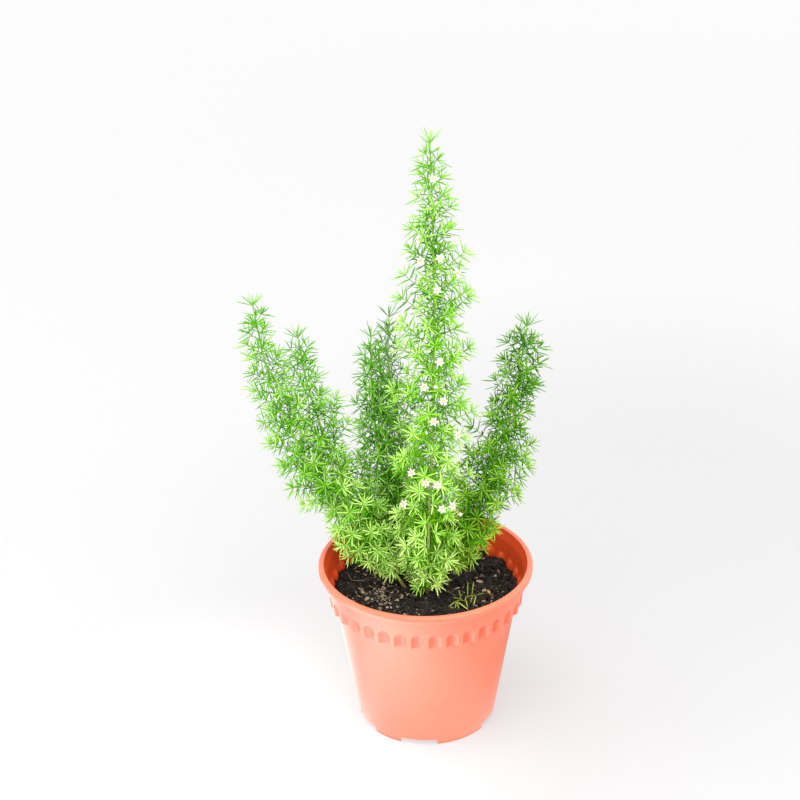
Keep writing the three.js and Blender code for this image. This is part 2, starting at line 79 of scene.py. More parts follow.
POT_LOW, POT_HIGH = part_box("pot")
POT_FOOT = np.array([(POT_LOW.x + POT_HIGH.x) / 2, (POT_LOW.y + POT_HIGH.y) / 2, POT_LOW.z])
POT_HEIGHT = (POT_HIGH.z - POT_LOW.z) / MM
LIP_RADIUS = (POT_HIGH.x - POT_LOW.x) / MM / 2

WALL = 1.6
FOOT_RADIUS, FOOT_HEIGHT, FOOT_WIDTH = 51.6, 5.0, 3.0
BODY_TOP_RADIUS = 67.8
COLLAR_BOTTOM, COLLAR_BOTTOM_RADIUS, COLLAR_TOP_RADIUS, COLLAR_SWELL = 98.0, 72.0, 75.0, 0.1
LIP_HEIGHT, LIP_INNER_RADIUS = 5.5, 75.6
FLUTES, FLUTE_WIDTH, FLUTE_DEPTH, FLUTE_TOP, FLUTE_SOFTNESS = 36, 9.3, 2.6, 111.0, 0.12
NOTCH_WIDTH, NOTCH_DEPTH, NOTCH_HEIGHT, NOTCH_BEVEL = 27.6, 14, 4.6, 0.8
NOTCH_ANGLES = (-63.5, -7, 68, 140, 212)
DRAIN_RADIUS, DRAIN_RING, DRAINS, DRAIN_SIDES = 5.0, 34.0, 5, 32

SOIL_LEVEL, SOIL_MOUND, SOIL_MOUND_RADIUS, SOIL_HOLE_DEPTH = 106.0, 2.0, 30.0, 24.0
SOIL_CELLS, SOIL_GAP = 230, 0.3
# The soil's top is a square field of clods: half its side, its step, how far it sinks and how rough its
# grain is. Then the clods' mean radii and how many there are of each.
FIELD_HALF, FIELD_STEP, FIELD_SINK, FIELD_GRAIN = 74.0, 0.5, 1.4, 0.1
CLODS = [(4.2, 260), (2.6, 900), (1.5, 3200), (0.9, 5200)]

# Each plume: its node, its seed, how many twigs it has, where its stem leaves the soil and passes
# (as in the model), how far its needles reach at each share of its height, and its colours.
PLUMES = [
    dict(
        node="plume_front", seed=11, twigs=152, bare=0.02, base=(1, -9), slot="foliage_light", tint_and_light="front",
        stem=[(2, -9, 144), (7, -9, 268), (8, -8, 374), (6, -8, 460)],
        reach=[
            (0, 18), (0.06, 25), (0.14, 31), (0.3, 36), (0.5, 36), (0.66, 32), (0.78, 24), (0.88, 17),
            (1, 11),
        ],
    ),
    dict(
        node="plume_left_outer", seed=23, twigs=99, bare=0.07, base=(-12, -3), slot="foliage_mid",
        tint_and_light="left", stem=[(-45, 0, 150), (-82, 2, 206), (-109, 5, 275), (-120, 8, 336)],
        reach=[(0, 11), (0.1, 25), (0.3, 28), (0.6, 25), (0.8, 20), (1, 11)],
    ),
    dict(
        node="plume_left_inner", seed=37, twigs=87, bare=0.07, base=(-8, 6), slot="foliage_mid",
        tint_and_light="left", stem=[(-30, 6, 136), (-62, 12, 197), (-84, 17, 269), (-90, 20, 305)],
        reach=[(0, 17), (0.2, 26), (0.6, 27), (0.85, 20), (1, 12)],
    ),
    dict(
        node="plume_back_left", seed=41, twigs=97, bare=0.05, base=(-2, 14), slot="foliage_deep", tint_and_light="back",
        stem=[(-18, 16, 139), (-33, 24, 205), (-38, 32, 262), (-38, 38, 297)],
        reach=[(0, 16), (0.2, 24), (0.6, 23), (0.85, 16), (1, 11)],
    ),
    dict(
        node="plume_back", seed=53, twigs=90, bare=0.05, base=(7, 11), slot="foliage_deep", tint_and_light="far",
        stem=[(-4, 22, 139), (-18, 38, 210), (-26, 52, 270), (-25, 62, 302)],
        reach=[(0, 16), (0.2, 23), (0.6, 22), (0.85, 14), (1, 10)],
    ),
    dict(
        node="plume_right", seed=67, twigs=113, bare=0.08, base=(10, 1), slot="foliage_deep", tint_and_light="right",
        stem=[(26, 5, 145), (50, 12, 200), (67, 20, 264), (75, 30, 308)],
        reach=[(0, 16), (0.12, 32), (0.3, 33), (0.6, 29), (0.85, 21), (1, 11)],
    ),
]

# Linear colours of each tint's needles: the darkest, the mean and the freshest. At the tone FAIR_TONE
# they have come FAIR_SHARE of the way from mean to fresh. The plumes are one plant, and their tints
# differ by where they stand: the front and left tints are paler, painted light from the window at the
# left, and the back, far and right tints are darker and greyer, painted shade. The seedling's tint is its
# own dry colour.
FAIR_TONE, FAIR_SHARE = 0.8, 0.4
TINTS_WITH_PAINTED_LIGHT = {
    "front": ((0.020, 0.17, 0.001), (0.205, 0.555, 0.010), (0.66, 0.95, 0.27)),
    "left": ((0.020, 0.18, 0.001), (0.140, 0.45, 0.006), (0.56, 0.83, 0.21)),
    "back": ((0.018, 0.16, 0.001), (0.11, 0.37, 0.009), (0.44, 0.80, 0.15)),
    "far": ((0.043, 0.158, 0.022), (0.115, 0.288, 0.05), (0.30, 0.504, 0.137)),
    "right": ((0.014, 0.120, 0.001), (0.083, 0.295, 0.003), (0.35, 0.59, 0.066)),
    "seedling": ((0.13, 0.20, 0.02), (0.28, 0.37, 0.04), (0.57, 0.61, 0.145)),
}

# Open flowers and buds on the front plume: (height, offset towards +X from the stem), and how far from
# the stem they stand, as in the model.
BLOOM_RADIUS, BLOOM_PEDICEL, BLOOM_DROP, BLOOM_INSET, BLOOM_UP = 3.5, 2.8, 6.0, 2.0, 0.62
BLOOM_REACH = [(0, 17), (0.1, 26), (0.28, 33), (0.5, 32), (0.66, 28), (0.78, 21), (0.88, 16), (1, 11)]
FRONT_BLOOMS = [
    (438.5, 1.5), (396, -9.5), (393.5, 13.5), (381.5, -9), (383.5, 4), (371, 16), (362, 2), (310.5, 3.5),
    (292, -7), (281.5, 6.5), (266, 0), (252.5, 17.5), (224, -14.5), (217.5, -4), (215.5, 4.5),
    (196.5, -19), (195, 8.5), (195.5, 16),
]
BACK_BLOOMS, BACK_BLOOM_FROM, BACK_BLOOM_TO, BACK_BLOOM_ACROSS = 5, 190, 400, 14
FRONT_BUDS = [(370.5, -10), (292.5, 1), (271.5, -15), (185, 22)]
PETALS, PETAL_WIDTH = 6, 1.9

# The seedling spray: its twigs' points, and its needles as root, tip and freshness.
SPRAY_TWIGS = [
    [(28.5, -23.5, 102), (28.8, -23.6, 108), (29.2, -23.5, 112)],
    [(28.8, -23.6, 109), (25.5, -26, 111.3), (22.3, -27.9, 111.5)],
    [(29.2, -23.5, 112), (33, -22.6, 112.8), (37.2, -22.1, 113)],
]
SPRAY_NEEDLES = [
    ((22.3, -27.9, 111.5), (16.3, -31.8, 109), 0.8), ((22.4, -27.9, 111.5), (21.5, -34.5, 108), 0.5),
    ((22.6, -28, 111.5), (24.6, -34.9, 108.3), 0.55), ((22.9, -28.2, 111.6), (31.5, -35.8, 108.5), 1.0),
    ((26.2, -25.4, 111.4), (24.6, -18, 116), 0.2), ((29.2, -23.7, 112), (30.8, -33.2, 108.5), 0.75),
    ((37.2, -22.2, 112.9), (34.7, -31.8, 109), 0.95), ((34.5, -22.6, 112.8), (32.8, -28, 110), 0.5),
    ((31, -23, 112.3), (30.6, -16.9, 122), 0.4), ((34, -22.4, 112.8), (35.6, -17, 122), 0.45),
    ((37.2, -22.1, 113), (43.5, -21, 114), 0.15), ((27, -25, 111.3), (19.5, -24.5, 112.5), 0.1),
]
SPRAY_NEEDLE_WIDTH, SPRAY_AXIS, SPRAY_TWIG_TONE = 0.9, (0.2, -1, 0.5), 0.3
PRILL_RADIUS = 1.55

# The camera stands in front of the pot and looks down on it.
CAMERA_PLACE = (1.6, -1284.4, 900.1)
CAMERA_YAW, CAMERA_PITCH, CAMERA_ROLL = 0.829, 63.65, -0.97
CAMERA_LENS, CAMERA_SENSOR = 90.0, 36.0

# The light: an even white sky, a floor that glows a little, as a lit table does, and large soft lamps:
# name, direction from what they aim at, distance and side in metres, and power in watts.
SKY, FLOOR_GREY, FLOOR_HALF = 1.55, 0.25, 60.0
LAMPS_AIM = (0, 0, 180)
LAMPS = [
    ("window", (-1, 0.1, 0.5), 2.2, 1.8, 18.0),
    ("front", (0.75, -1, 0.4), 2.4, 1.6, 30.0),
    ("top", (-0.05, -0.3, 1), 6.0, 3.6, 200.0),
]
# The floor's glows, which add up: the place that each goes out from, the metres from it between which it
# changes, and its strength before and beyond them. The first is a painted pool of light beside the pot,
# where the window's light lies. Far off its own glow makes up for the lamps. The last, below zero, is a
# painted shadow behind the pot, at the right.
FLOOR_PAINTED_LIGHT_AND_SHADOW = [
    ((-0.10, -0.05, 0.0), (0.0, 0.24), (0.70, 0.43)),
    ((-0.10, -0.05, 0.0), (0.8, 4.0), (0.0, 0.14)),
    ((0.24, 0.33, 0.0), (0.08, 0.55), (-0.10, 0.0)),
]
# The table shines with the window's glare at the left, which shows as a pale sheen on what faces it: its
# strength, the sheet's left, right, front and back and its height in metres from the pot's foot, then for
# each axis the metres between which it fades and the share that stays.
GLARE, GLARE_SHEET, GLARE_HEIGHT = 20.0, (-0.5, 0.13, -0.24, 0.15), 0.002
GLARE_FADES = [("X", -0.10, 0.13, 0.0), ("Y", -0.16, -0.01, 0.15)]


def placed(points):
    """Millimetres from the middle of the pot's foot, as metres in the model's frame."""
    return np.asarray(points, float) * MM + POT_FOOT


def unit(vectors):
    vectors = np.asarray(vectors, float)
    return vectors / np.maximum(np.linalg.norm(vectors, axis=-1, keepdims=True), 1e-9)


def value_at(table, share):
    """The value at a share of a list of (share, value) pairs."""
    return np.interp(share, *zip(*table))


# ---------------------------------------------------------------- meshes


def linked(name, data):
    """A new object in the scene."""
    made = bpy.data.objects.new(name, data)
    bpy.context.scene.collection.objects.link(made)
    return made


def mark_points(mesh, key, numbers):
    """Gives each point of a mesh a number, for a material to read."""
    attribute = mesh.attributes.new(key, "FLOAT", "POINT")
    attribute.data.foreach_set("value", np.asarray(numbers, np.float32))


class Heap:
    """Points and faces of bodies, large or small, gathered for one piece."""

    def __init__(self):
        self.points, self.faces, self.values, self.worn = [], [], {}, []
        self.count = 0

    def add(self, points, faces, worn=0, **values):
        """Adds bodies: points is (bodies, n, 3) in millimetres, faces are index arrays into one body's n
        points, worn is the material they wear, and values are numbers for each point."""
        points = np.asarray(points, float)
        bodies, size = points.shape[:2]
        first = self.count + size * np.arange(bodies)[:, None, None]
        self.points.append(points.reshape(-1, 3))
        for group in faces:
            self.faces.append((first + group[None]).reshape(-1, group.shape[1]))
            self.worn.append(np.full(bodies * len(group), worn))
        for key, numbers in values.items():
            self.values.setdefault(key, []).append(np.broadcast_to(numbers, (bodies, size)).ravel())
        self.count += bodies * size
        return self

    def tubes(self, centres, radii, sides, worn=0, **values):
        return self.add(*tube_bodies(centres, radii, sides), worn, **values)

    def piece(self, name, materials, slot, *stands_for, sharp=None):
        """The piece, which stands for these nodes. sharp is the angle in degrees that stays an edge."""
        mesh = bpy.data.meshes.new(name)
        corners = np.concatenate([group.ravel() for group in self.faces]).astype(np.int32)
        counts = np.concatenate([np.full(len(group), group.shape[1]) for group in self.faces])
        mesh.vertices.add(self.count)
        mesh.vertices.foreach_set("co", placed(np.concatenate(self.points)).astype(np.float32).ravel())
        mesh.loops.add(len(corners))
        mesh.loops.foreach_set("vertex_index", corners)
        mesh.polygons.add(len(counts))
        mesh.polygons.foreach_set("loop_start", (np.cumsum(counts) - counts).astype(np.int32))
        mesh.update(calc_edges=True)
        for key, numbers in self.values.items():
            mark_points(mesh, key, np.concatenate(numbers))
        for material in materials:
            mesh.materials.append(material)
        mesh.polygons.foreach_set("material_index", np.concatenate(self.worn).astype(np.int32))
        mesh.polygons.foreach_set("use_smooth", np.ones(len(counts), bool))
        if sharp is not None:
            mesh.set_sharp_from_angle(angle=math.radians(sharp))
        piece = linked(name, mesh)
        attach(piece, "root")
        if stands_for:
            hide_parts(*stands_for)
        return piece


def flipped(quads):
    """The same quads seen from their other side, from the same first corner."""
    return np.roll(quads[:, ::-1], 1, 1)


def fan(near, far, hub):
    """Triangles from pairs of points to one hub."""
    return np.stack([near, far, np.full(len(near), hub)], 1)


def ring_faces(rings, sides, first=0):
    """Quads between rings of the same number of points, laid one after the other."""
    low = first + np.arange(sides)
    after = first + (np.arange(sides) + 1) % sides
    quad = np.stack([low, after, after + sides, low + sides], 1)
    return np.concatenate([quad + sides * k for k in range(rings - 1)])


def spindle_faces(rings, sides):
    """Faces over a first point, some rings and a last point."""
    low = 1 + np.arange(sides)
    after = np.roll(low, -1)
    last = sides * (rings - 1)
    return [fan(after, low, 0), ring_faces(rings, sides, 1), fan(last + low, last + after, last + sides + 1)]


def sheet_faces(grid):
    """Quads over a grid of point numbers, and the numbers round its rim."""
    quads = np.stack([grid[:-1, :-1], grid[:-1, 1:], grid[1:, 1:], grid[1:, :-1]], -1).reshape(-1, 4)
    rim = np.concatenate([grid[0, :-1], grid[:-1, -1], grid[-1, :0:-1], grid[:0:-1, 0]])
    return quads, rim


def tube_bodies(centres, radii, sides):
    """Closed round tubes along lines of centres (tubes, rings, 3), with the radii of their rings."""
    centres = np.asarray(centres, float)
    tubes, rings = centres.shape[:2]
    along = unit(np.gradient(centres, axis=1))
    whole = unit(centres[:, -1] - centres[:, 0])
    least = np.eye(3)[np.argmin(np.abs(whole), axis=1)]
    side = unit(np.cross(along, least[:, None]))
    across = np.cross(along, side)
    angle = TURN * np.arange(sides) / sides
    round_trip = side[:, :, None] * np.cos(angle)[:, None] + across[:, :, None] * np.sin(angle)[:, None]
    points = centres[:, :, None] + np.broadcast_to(radii, (tubes, rings))[..., None, None] * round_trip
    start = np.arange(sides)[::-1][None]
    end = (np.arange(sides) + sides * (rings - 1))[None]
    return points.reshape(tubes, -1, 3), [ring_faces(rings, sides), start, end]


def ball_body(rings, sides):
    """A unit ball as rings round +Z between two poles."""
    falls, turns = math.pi * np.arange(1, rings) / rings, TURN * np.arange(sides) / sides
    fall, turn = np.meshgrid(falls, turns, indexing="ij")
    skin = np.stack([np.sin(fall) * np.cos(turn), np.sin(fall) * np.sin(turn), -np.cos(fall)], -1)
    points = np.concatenate([[[0, 0, -1]], skin.reshape(-1, 3), [[0, 0, 1]]])
    return points, spindle_faces(rings - 1, sides)


def smooth_line(points, count):
    """Evenly spaced points on a centripetal Catmull-Rom curve through these points."""
    points = np.asarray(points, float)
    ends = np.vstack([2 * points[0] - points[1], points, 2 * points[-1] - points[-2]])
    dense = []
    for i in range(1, len(ends) - 2):
        p = ends[i - 1:i + 3]
        gaps = np.sqrt(np.linalg.norm(np.diff(p, axis=0), axis=1))
        t = np.concatenate([[0], np.cumsum(np.maximum(gaps, 1e-6))])
        for s in np.linspace(t[1], t[2], 60, endpoint=i == len(ends) - 3):
            a = [p[k] + (p[k + 1] - p[k]) * (s - t[k]) / (t[k + 1] - t[k]) for k in range(3)]
            b = [a[k] + (a[k + 1] - a[k]) * (s - t[k]) / (t[k + 2] - t[k]) for k in range(2)]
            dense.append(b[0] + (b[1] - b[0]) * (s - t[1]) / (t[2] - t[1]))
    dense = np.array(dense)
    travelled = np.concatenate([[0], np.cumsum(np.linalg.norm(np.diff(dense, axis=0), axis=1))])
    wanted = np.linspace(0, travelled[-1], count)
    return np.column_stack([np.interp(wanted, travelled, dense[:, k]) for k in range(3)])


# ---------------------------------------------------------------- materials


class Finish:
    """A material with a Principled shader, and short ways to add nodes to it."""

    def __init__(self, name, roughness, specular=0.5):
        self.material = bpy.data.materials.new(name)
        self.material.use_nodes = True
        self.tree = self.material.node_tree
        self.wear(Roughness=roughness, Specular_IOR_Level=specular)

    def plug(self, socket, value):
        """Links a socket to another one, or gives it a value. A colour is given without its alpha."""
        if isinstance(value, bpy.types.NodeSocket):
            self.tree.links.new(value, socket)
        else:
            socket.default_value = (*value, 1) if socket.type == "RGBA" else value

    def wear(self, **sockets):
        """Plugs values into the shader's sockets of these names."""
        for key, value in sockets.items():
            self.plug(self.tree.nodes["Principled BSDF"].inputs[key.replace("_", " ")], value)

    def node(self, kind, *inputs, out=0, **named):
        """A new node's output. Capitalised names are its sockets and others its settings, and plain
        inputs go to its sockets in order."""
        node = self.tree.nodes.new("ShaderNode" + kind)
        for key, value in named.items():
            if key[0].isupper():
                self.plug(node.inputs[key], value)
            else:
                setattr(node, key, value)
        for socket, value in zip(node.inputs, inputs):
            self.plug(socket, value)
        return node.outputs[out]

    def place(self):
        return self.node("TexCoord", out="Object")

    def point_value(self, key):
        """The number that mark_points gave each point."""
        return self.node("Attribute", attribute_name=key, out="Fac")

    def noise(self, scale, detail, roughness=0.5):
        return self.node("TexNoise", Vector=self.place(), Scale=scale, Detail=detail, Roughness=roughness)

    def ramp(self, factor, *stops):
        """A colour ramp over (position, colour) stops, driven by a socket. One number is a grey."""
        colour = self.node("ValToRGB", factor)
        elements = colour.node.color_ramp.elements
        while len(elements) < len(stops):
            elements.new(0.5)
        for element, (position, shade) in zip(elements, stops):
            element.position = position
            element.color = (*np.broadcast_to(shade, 3), 1)
        return colour

    def mix(self, kind, factor, first, second):
        """Two colours blended in a mode, such as MIX or MULTIPLY."""
        colour = self.node("Mix", factor, data_type="RGBA", blend_type=kind, out=2)
        self.plug(colour.node.inputs[6], first)
        self.plug(colour.node.inputs[7], second)
        return colour

    def colour_by(self, colour, factor, *stops):
        """Wears a colour that is darkened by a ramp."""
        self.wear(Base_Color=self.mix("MULTIPLY", 1.0, colour, self.ramp(factor, *stops)))

    def bump(self, height, strength, distance):
        self.wear(Normal=self.node("Bump", Height=height, Strength=strength, Distance=distance * MM))

    def let_light_in(self, weight, radius, scale):
        self.wear(Subsurface_Weight=weight, Subsurface_Radius=radius, Subsurface_Scale=scale * MM)


def plastic_finish():
    """Satin salmon polypropylene with faint flow clouds, specks and scuffs, and painted shade in the flutes'
    hollows and on the inner walls.
    """
    finish = Finish("pot_plastic", 0.32, 0.18)
    colour = finish.ramp(
        finish.noise(38.0, 5.0, 0.6),
        (0.3, (0.645, 0.165, 0.096)), (0.55, (0.675, 0.175, 0.103)), (0.8, (0.70, 0.184, 0.110)),
    )
    # Painted shade: the flutes' hollows are darkened by how deep they are.
    colour = finish.mix("MULTIPLY", finish.point_value("painted_hollow_shade"), colour, (0.90, 0.62, 0.50))
    # Painted shade: faces turned towards the pot's axis, its inner walls, get a deeper, darker colour that
    # stands in for their shade and the light bounced from wall to wall.
    level = finish.node("VectorMath", finish.place(), (1, 1, 0), operation="MULTIPLY")
    outward = finish.node("VectorMath", level, operation="NORMALIZE")
    normal = finish.node("NewGeometry", out="Normal")
    facing = finish.node("VectorMath", normal, outward, operation="DOT_PRODUCT", out="Value")
    inside = finish.node("MapRange", facing, -0.75, -0.4, 1.0, 0.0)
    colour = finish.mix("MIX", inside, colour, (0.72, 0.075, 0.016))
    spots = finish.node("TexVoronoi", Vector=finish.place(), Scale=210.0)
    specks = finish.ramp(spots, (0.0, 0.9), (0.2, 0))
    here_and_there = finish.ramp(finish.noise(95.0, 1.0), (0.55, 0), (0.63, 1))
    marked = finish.mix("MULTIPLY", 1.0, specks, here_and_there)
    colour = finish.mix("MIX", marked, colour, (0.44, 0.08, 0.04))
    scuffs = finish.node("MapRange", finish.noise(150.0, 6.0, 0.7), 0.0, 1.0, 0.26, 0.38)
    finish.wear(Base_Color=colour, Roughness=scuffs)
    finish.bump(finish.noise(900.0, 3.0), 0.12, 0.12)
    return finish.material


def soil_finish():
    """Nearly black damp potting mix, browner where it is dry."""
    finish = Finish("soil", 0.85, 0.35)
    flecks = finish.ramp(
        finish.noise(620.0, 4.0, 0.65), (0.40, (0.003, 0.002, 0.001)), (0.53, (0.014, 0.010, 0.006)),
        (0.62, (0.060, 0.044, 0.026)), (0.72, (0.20, 0.155, 0.10)),
    )
    finish.colour_by(flecks, finish.noise(130.0, 3.0), (0.35, 0.45), (0.65, 1))
    finish.bump(finish.noise(1200.0, 5.0, 0.7), 0.7, 0.5)
    return finish.material


def bit_finish(name, dark, pale):
    """Bark, perlite and fibre: each bit takes its own shade between two colours."""
    finish = Finish(name, 0.8, 0.3)
    grain = finish.noise(700.0, 6.0, 0.7)
    colour = finish.mix("MIX", finish.point_value("tone"), dark, pale)
    finish.colour_by(colour, grain, (0.3, (0.55, 0.52, 0.5)), (0.7, 1))
    finish.bump(grain, 0.5, 0.3)
    return finish.material


def needle_finish(name, tint_and_light):
    """Soft waxy needles, each with its own tone, which holds random variety and painted light and shade, a
    touch darker at the root, lit through when thin.
    """
    dark, mean, fresh = TINTS_WITH_PAINTED_LIGHT[tint_and_light]
    fair = tuple(m + FAIR_SHARE * (f - m) for m, f in zip(mean, fresh))
    finish = Finish(name, 0.5, 0.03)
    tones = (0.0, dark), (0.5, mean), (FAIR_TONE, fair), (1.0, fresh)
    colour = finish.ramp(finish.point_value("tone"), *tones)
    root, middle = (0.0, (0.95, 0.95, 0.9)), (0.4, (0.94, 0.96, 0.9))
    finish.colour_by(colour, finish.point_value("along"), root, middle, (1.0, 1))
    finish.let_light_in(0.12, (0.6, 1.0, 0.25), 1.0)
    return finish.material


def stem_finish():
    """Green stems and twigs that turn woody brown near the soil."""
    finish = Finish("stem", 0.6, 0.04)
    colour = finish.ramp(
        finish.point_value("rise"), (0.0, (0.16, 0.11, 0.05)), (0.05, (0.36, 0.36, 0.12)),
        (0.11, (0.50, 0.64, 0.20)), (0.5, (0.38, 0.60, 0.13)), (1.0, (0.19, 0.45, 0.045)),
    )
    streaks = finish.noise(400.0, 4.0)
    finish.colour_by(colour, streaks, (0.3, (0.78, 0.78, 0.75)), (0.7, (1.08, 1.08, 1.0)))
    finish.bump(streaks, 0.3, 0.2)
    return finish.material


def petal_finish():
    """Cream-white petals, warmer at the throat."""
    finish = Finish("petal", 0.55, 0.3)
    throat, rest, tip = (0.55, 0.54, 0.26), (0.70, 0.64, 0.50), (0.74, 0.69, 0.63)
    finish.wear(Base_Color=finish.ramp(finish.point_value("along"), (0.0, throat), (0.25, rest), (1.0, tip)))
    finish.let_light_in(0.25, (1.0, 0.9, 0.7), 0.6)
    return finish.material


def plain_finish(name, colour, spread, roughness, scale=500.0, bump=0.3):
    """A colour that varies a little through a fine grain."""
    finish = Finish(name, roughness)
    grain = finish.noise(scale, 4.0)
    low, high = (np.minimum(1, np.array(colour) * share) for share in (1 - spread, 1 + spread))
    finish.wear(Base_Color=finish.ramp(grain, (0.3, low), (0.7, high)))
    finish.bump(grain, bump, 0.2)
    return finish.material


# ---------------------------------------------------------------- pot

HALF_PITCH = math.pi / FLUTES
ROD_RADIUS = (FLUTE_WIDTH**2 / 4 + FLUTE_DEPTH**2) / (2 * FLUTE_DEPTH)
ARCH_FOOT = FLUTE_TOP - FLUTE_WIDTH / 2
COLLAR_MEAN_RADIUS = COLLAR_BOTTOM_RADIUS + 0.6
LIP_BOTTOM = POT_HEIGHT - LIP_HEIGHT


def rod_bite(across, z, margin):
    """How deep a flute's round-ended rod, grown by a margin, bites into the wall; 0 beside it."""
    from_axis = np.hypot(across, np.maximum(z - ARCH_FOOT, 0))
    half_chord = np.sqrt(np.maximum((ROD_RADIUS + margin) ** 2 - from_axis**2, 0))
    reach = half_chord - (ROD_RADIUS - FLUTE_DEPTH)
    return 0.5 * (reach + np.sqrt(reach**2 + FLUTE_SOFTNESS**2))


def flute_offsets():
    """Places across one flute's pitch, in millimetres, drawn together at the flute's edges."""
    edge = FLUTE_WIDTH / 2
    half = [0, 0.28 * edge, 0.55 * edge, 0.78 * edge, 0.92 * edge, edge, edge + 0.22, edge + 0.8]
    return np.array([-x for x in half[:0:-1]] + half + [HALF_PITCH * COLLAR_MEAN_RADIUS])


def body_radius(z):
    return np.interp(z, [0, COLLAR_BOTTOM], [FOOT_RADIUS, BODY_TOP_RADIUS])


def collar_radius(z):
    return np.interp(z, [COLLAR_BOTTOM, LIP_BOTTOM], [COLLAR_BOTTOM_RADIUS, COLLAR_TOP_RADIUS])


def inner_wall_radius(angle, z):
    """The pot's inner face above the shoulder: the collar less its wall, with each flute's rib."""
    across = (np.mod(angle, 2 * HALF_PITCH) - HALF_PITCH) * COLLAR_MEAN_RADIUS
    rib = np.maximum(rod_bite(across, z, WALL) - WALL, 0)
    return collar_radius(z) - WALL - rib


def pot_rings():
    """The pot's closed profile as rings of (radii, heights) over all columns, outside first."""
    offsets = flute_offsets()
    across = np.tile(offsets, FLUTES)
    centres = np.repeat(HALF_PITCH * (2 * np.arange(FLUTES) + 1), len(offsets))
    angles = centres + across / COLLAR_MEAN_RADIUS
    flat = np.ones(len(angles))
    rings = []

    def ring(radius, z):
        rings.append((radius * flat, z * flat))

    def arc(radius, z, bend, start, end, steps):
        """Rings along an arc of the profile about (radius, z), between two angles in degrees."""
        for a in np.radians(np.linspace(start, end, steps)):
            ring(radius + bend * math.cos(a), z + bend * math.sin(a))

    # The recess under the floor, the foot ring and the tapered body.
    ring(FOOT_RADIUS - FOOT_WIDTH, FOOT_HEIGHT)
    arc(FOOT_RADIUS - FOOT_WIDTH + 0.5, 0.5, 0.5, 180, 270, 4)
    arc(FOOT_RADIUS - 0.6, 0.6, 0.6, 270, 352, 4)
    for z in np.linspace(4, COLLAR_BOTTOM - 1.2, 16):
        ring(body_radius(z), z)
    ring(BODY_TOP_RADIUS + 0.05, COLLAR_BOTTOM - 0.3)
    ring(BODY_TOP_RADIUS + 0.4, COLLAR_BOTTOM)
    # The collar's rounded lower edge, then its flutes, whose arched tops the rows follow.
    depth_low = rod_bite(across, COLLAR_BOTTOM, 0)
    for swell, up in ((-0.7, 0.05), (-0.15, 0.3), (COLLAR_SWELL, 0.9)):
        ring(COLLAR_BOTTOM_RADIUS + swell - depth_low, COLLAR_BOTTOM + up)
    arch = ARCH_FOOT + np.sqrt(np.maximum((FLUTE_WIDTH / 2) ** 2 - across**2, 0))
    low, high = COLLAR_BOTTOM + 0.9, LIP_BOTTOM - 0.6
    for share in (0.3, 0.55, 0.75, 0.9, 0.97, 1.0):
        z = low + share * (arch - low)
        ring(collar_radius(z) + COLLAR_SWELL - rod_bite(across, z, 0), z)
    for share in (0.03, 0.1, 0.3, 0.6, 1.0):
        z = arch + share * (high - arch)
        ring(collar_radius(z) + COLLAR_SWELL - rod_bite(across, z, 0) * (1 - share), z)
    # The lip: a small cove under it, a rounded bead, and the inner wall with the flutes' ribs.
    arc(COLLAR_TOP_RADIUS + 0.8, LIP_BOTTOM - 0.7, 0.7, 180, 90, 4)
    arc(LIP_RADIUS - 1.1, LIP_BOTTOM + 1.1, 1.1, 270, 355, 5)
    arc(LIP_RADIUS - 2.0, POT_HEIGHT - 2.0, 2.0, 5, 90, 8)
    arc(LIP_INNER_RADIUS + 1.2, POT_HEIGHT - 1.2, 1.2, 95, 180, 6)
    ring(LIP_INNER_RADIUS - 0.4, POT_HEIGHT - 3)
    inner_top = LIP_BOTTOM - 1.2
    ring(COLLAR_TOP_RADIUS - WALL, inner_top)
    for z in np.linspace(inner_top - 1.5, COLLAR_BOTTOM + 2 * WALL, 20):
        ring(inner_wall_radius(angles, z), z)
    ring(BODY_TOP_RADIUS - WALL + 0.6, COLLAR_BOTTOM + WALL + 0.6)
    ring(BODY_TOP_RADIUS - WALL, COLLAR_BOTTOM)
    for z in np.linspace(80, FOOT_HEIGHT + WALL + 2, 5):
        ring(body_radius(z) - WALL, z)
    ring(FOOT_RADIUS - WALL - 1.5, FOOT_HEIGHT + WALL)
    return angles, rings


def pot_cutters():
    """One body of the foot's notches and the floor's drain holes, to be cut out of the pot."""
    cutters = bmesh.new()
    for angle in NOTCH_ANGLES:
        turn = Matrix.Rotation(math.radians(angle), 4, "Z")
        shift = Matrix.Translation((0, -FOOT_RADIUS, 0))
        size = Matrix.Diagonal((NOTCH_WIDTH, NOTCH_DEPTH, 2 * NOTCH_HEIGHT, 1))
        made = bmesh.ops.create_cube(cutters, size=1, matrix=turn @ shift @ size)
        edges = {e for v in made["verts"] for e in v.link_edges}
        level = [e for e in edges if all(v.co.z > 0 for v in e.verts)]
        ends = [e for e in level if abs(e.calc_length() - NOTCH_DEPTH) < 1]
        bmesh.ops.bevel(cutters, geom=ends, offset=NOTCH_BEVEL, segments=3, affect="EDGES")
    for k in range(DRAINS):
        angle = TURN * k / DRAINS
        place = (DRAIN_RING * math.cos(angle), DRAIN_RING * math.sin(angle), FOOT_HEIGHT)
        bmesh.ops.create_cone(
            cutters, cap_ends=True, segments=DRAIN_SIDES, radius1=DRAIN_RADIUS, radius2=DRAIN_RADIUS,
            depth=4 * WALL, matrix=Matrix.Translation(place),
        )
    in_frame = Matrix.Translation(POT_FOOT) @ Matrix.Scale(MM, 4)
    bmesh.ops.transform(cutters, matrix=in_frame, verts=cutters.verts)
    mesh = bpy.data.meshes.new("pot_cutters")
    cutters.to_mesh(mesh)
    cutters.free()
    return linked("pot_cutters", mesh)


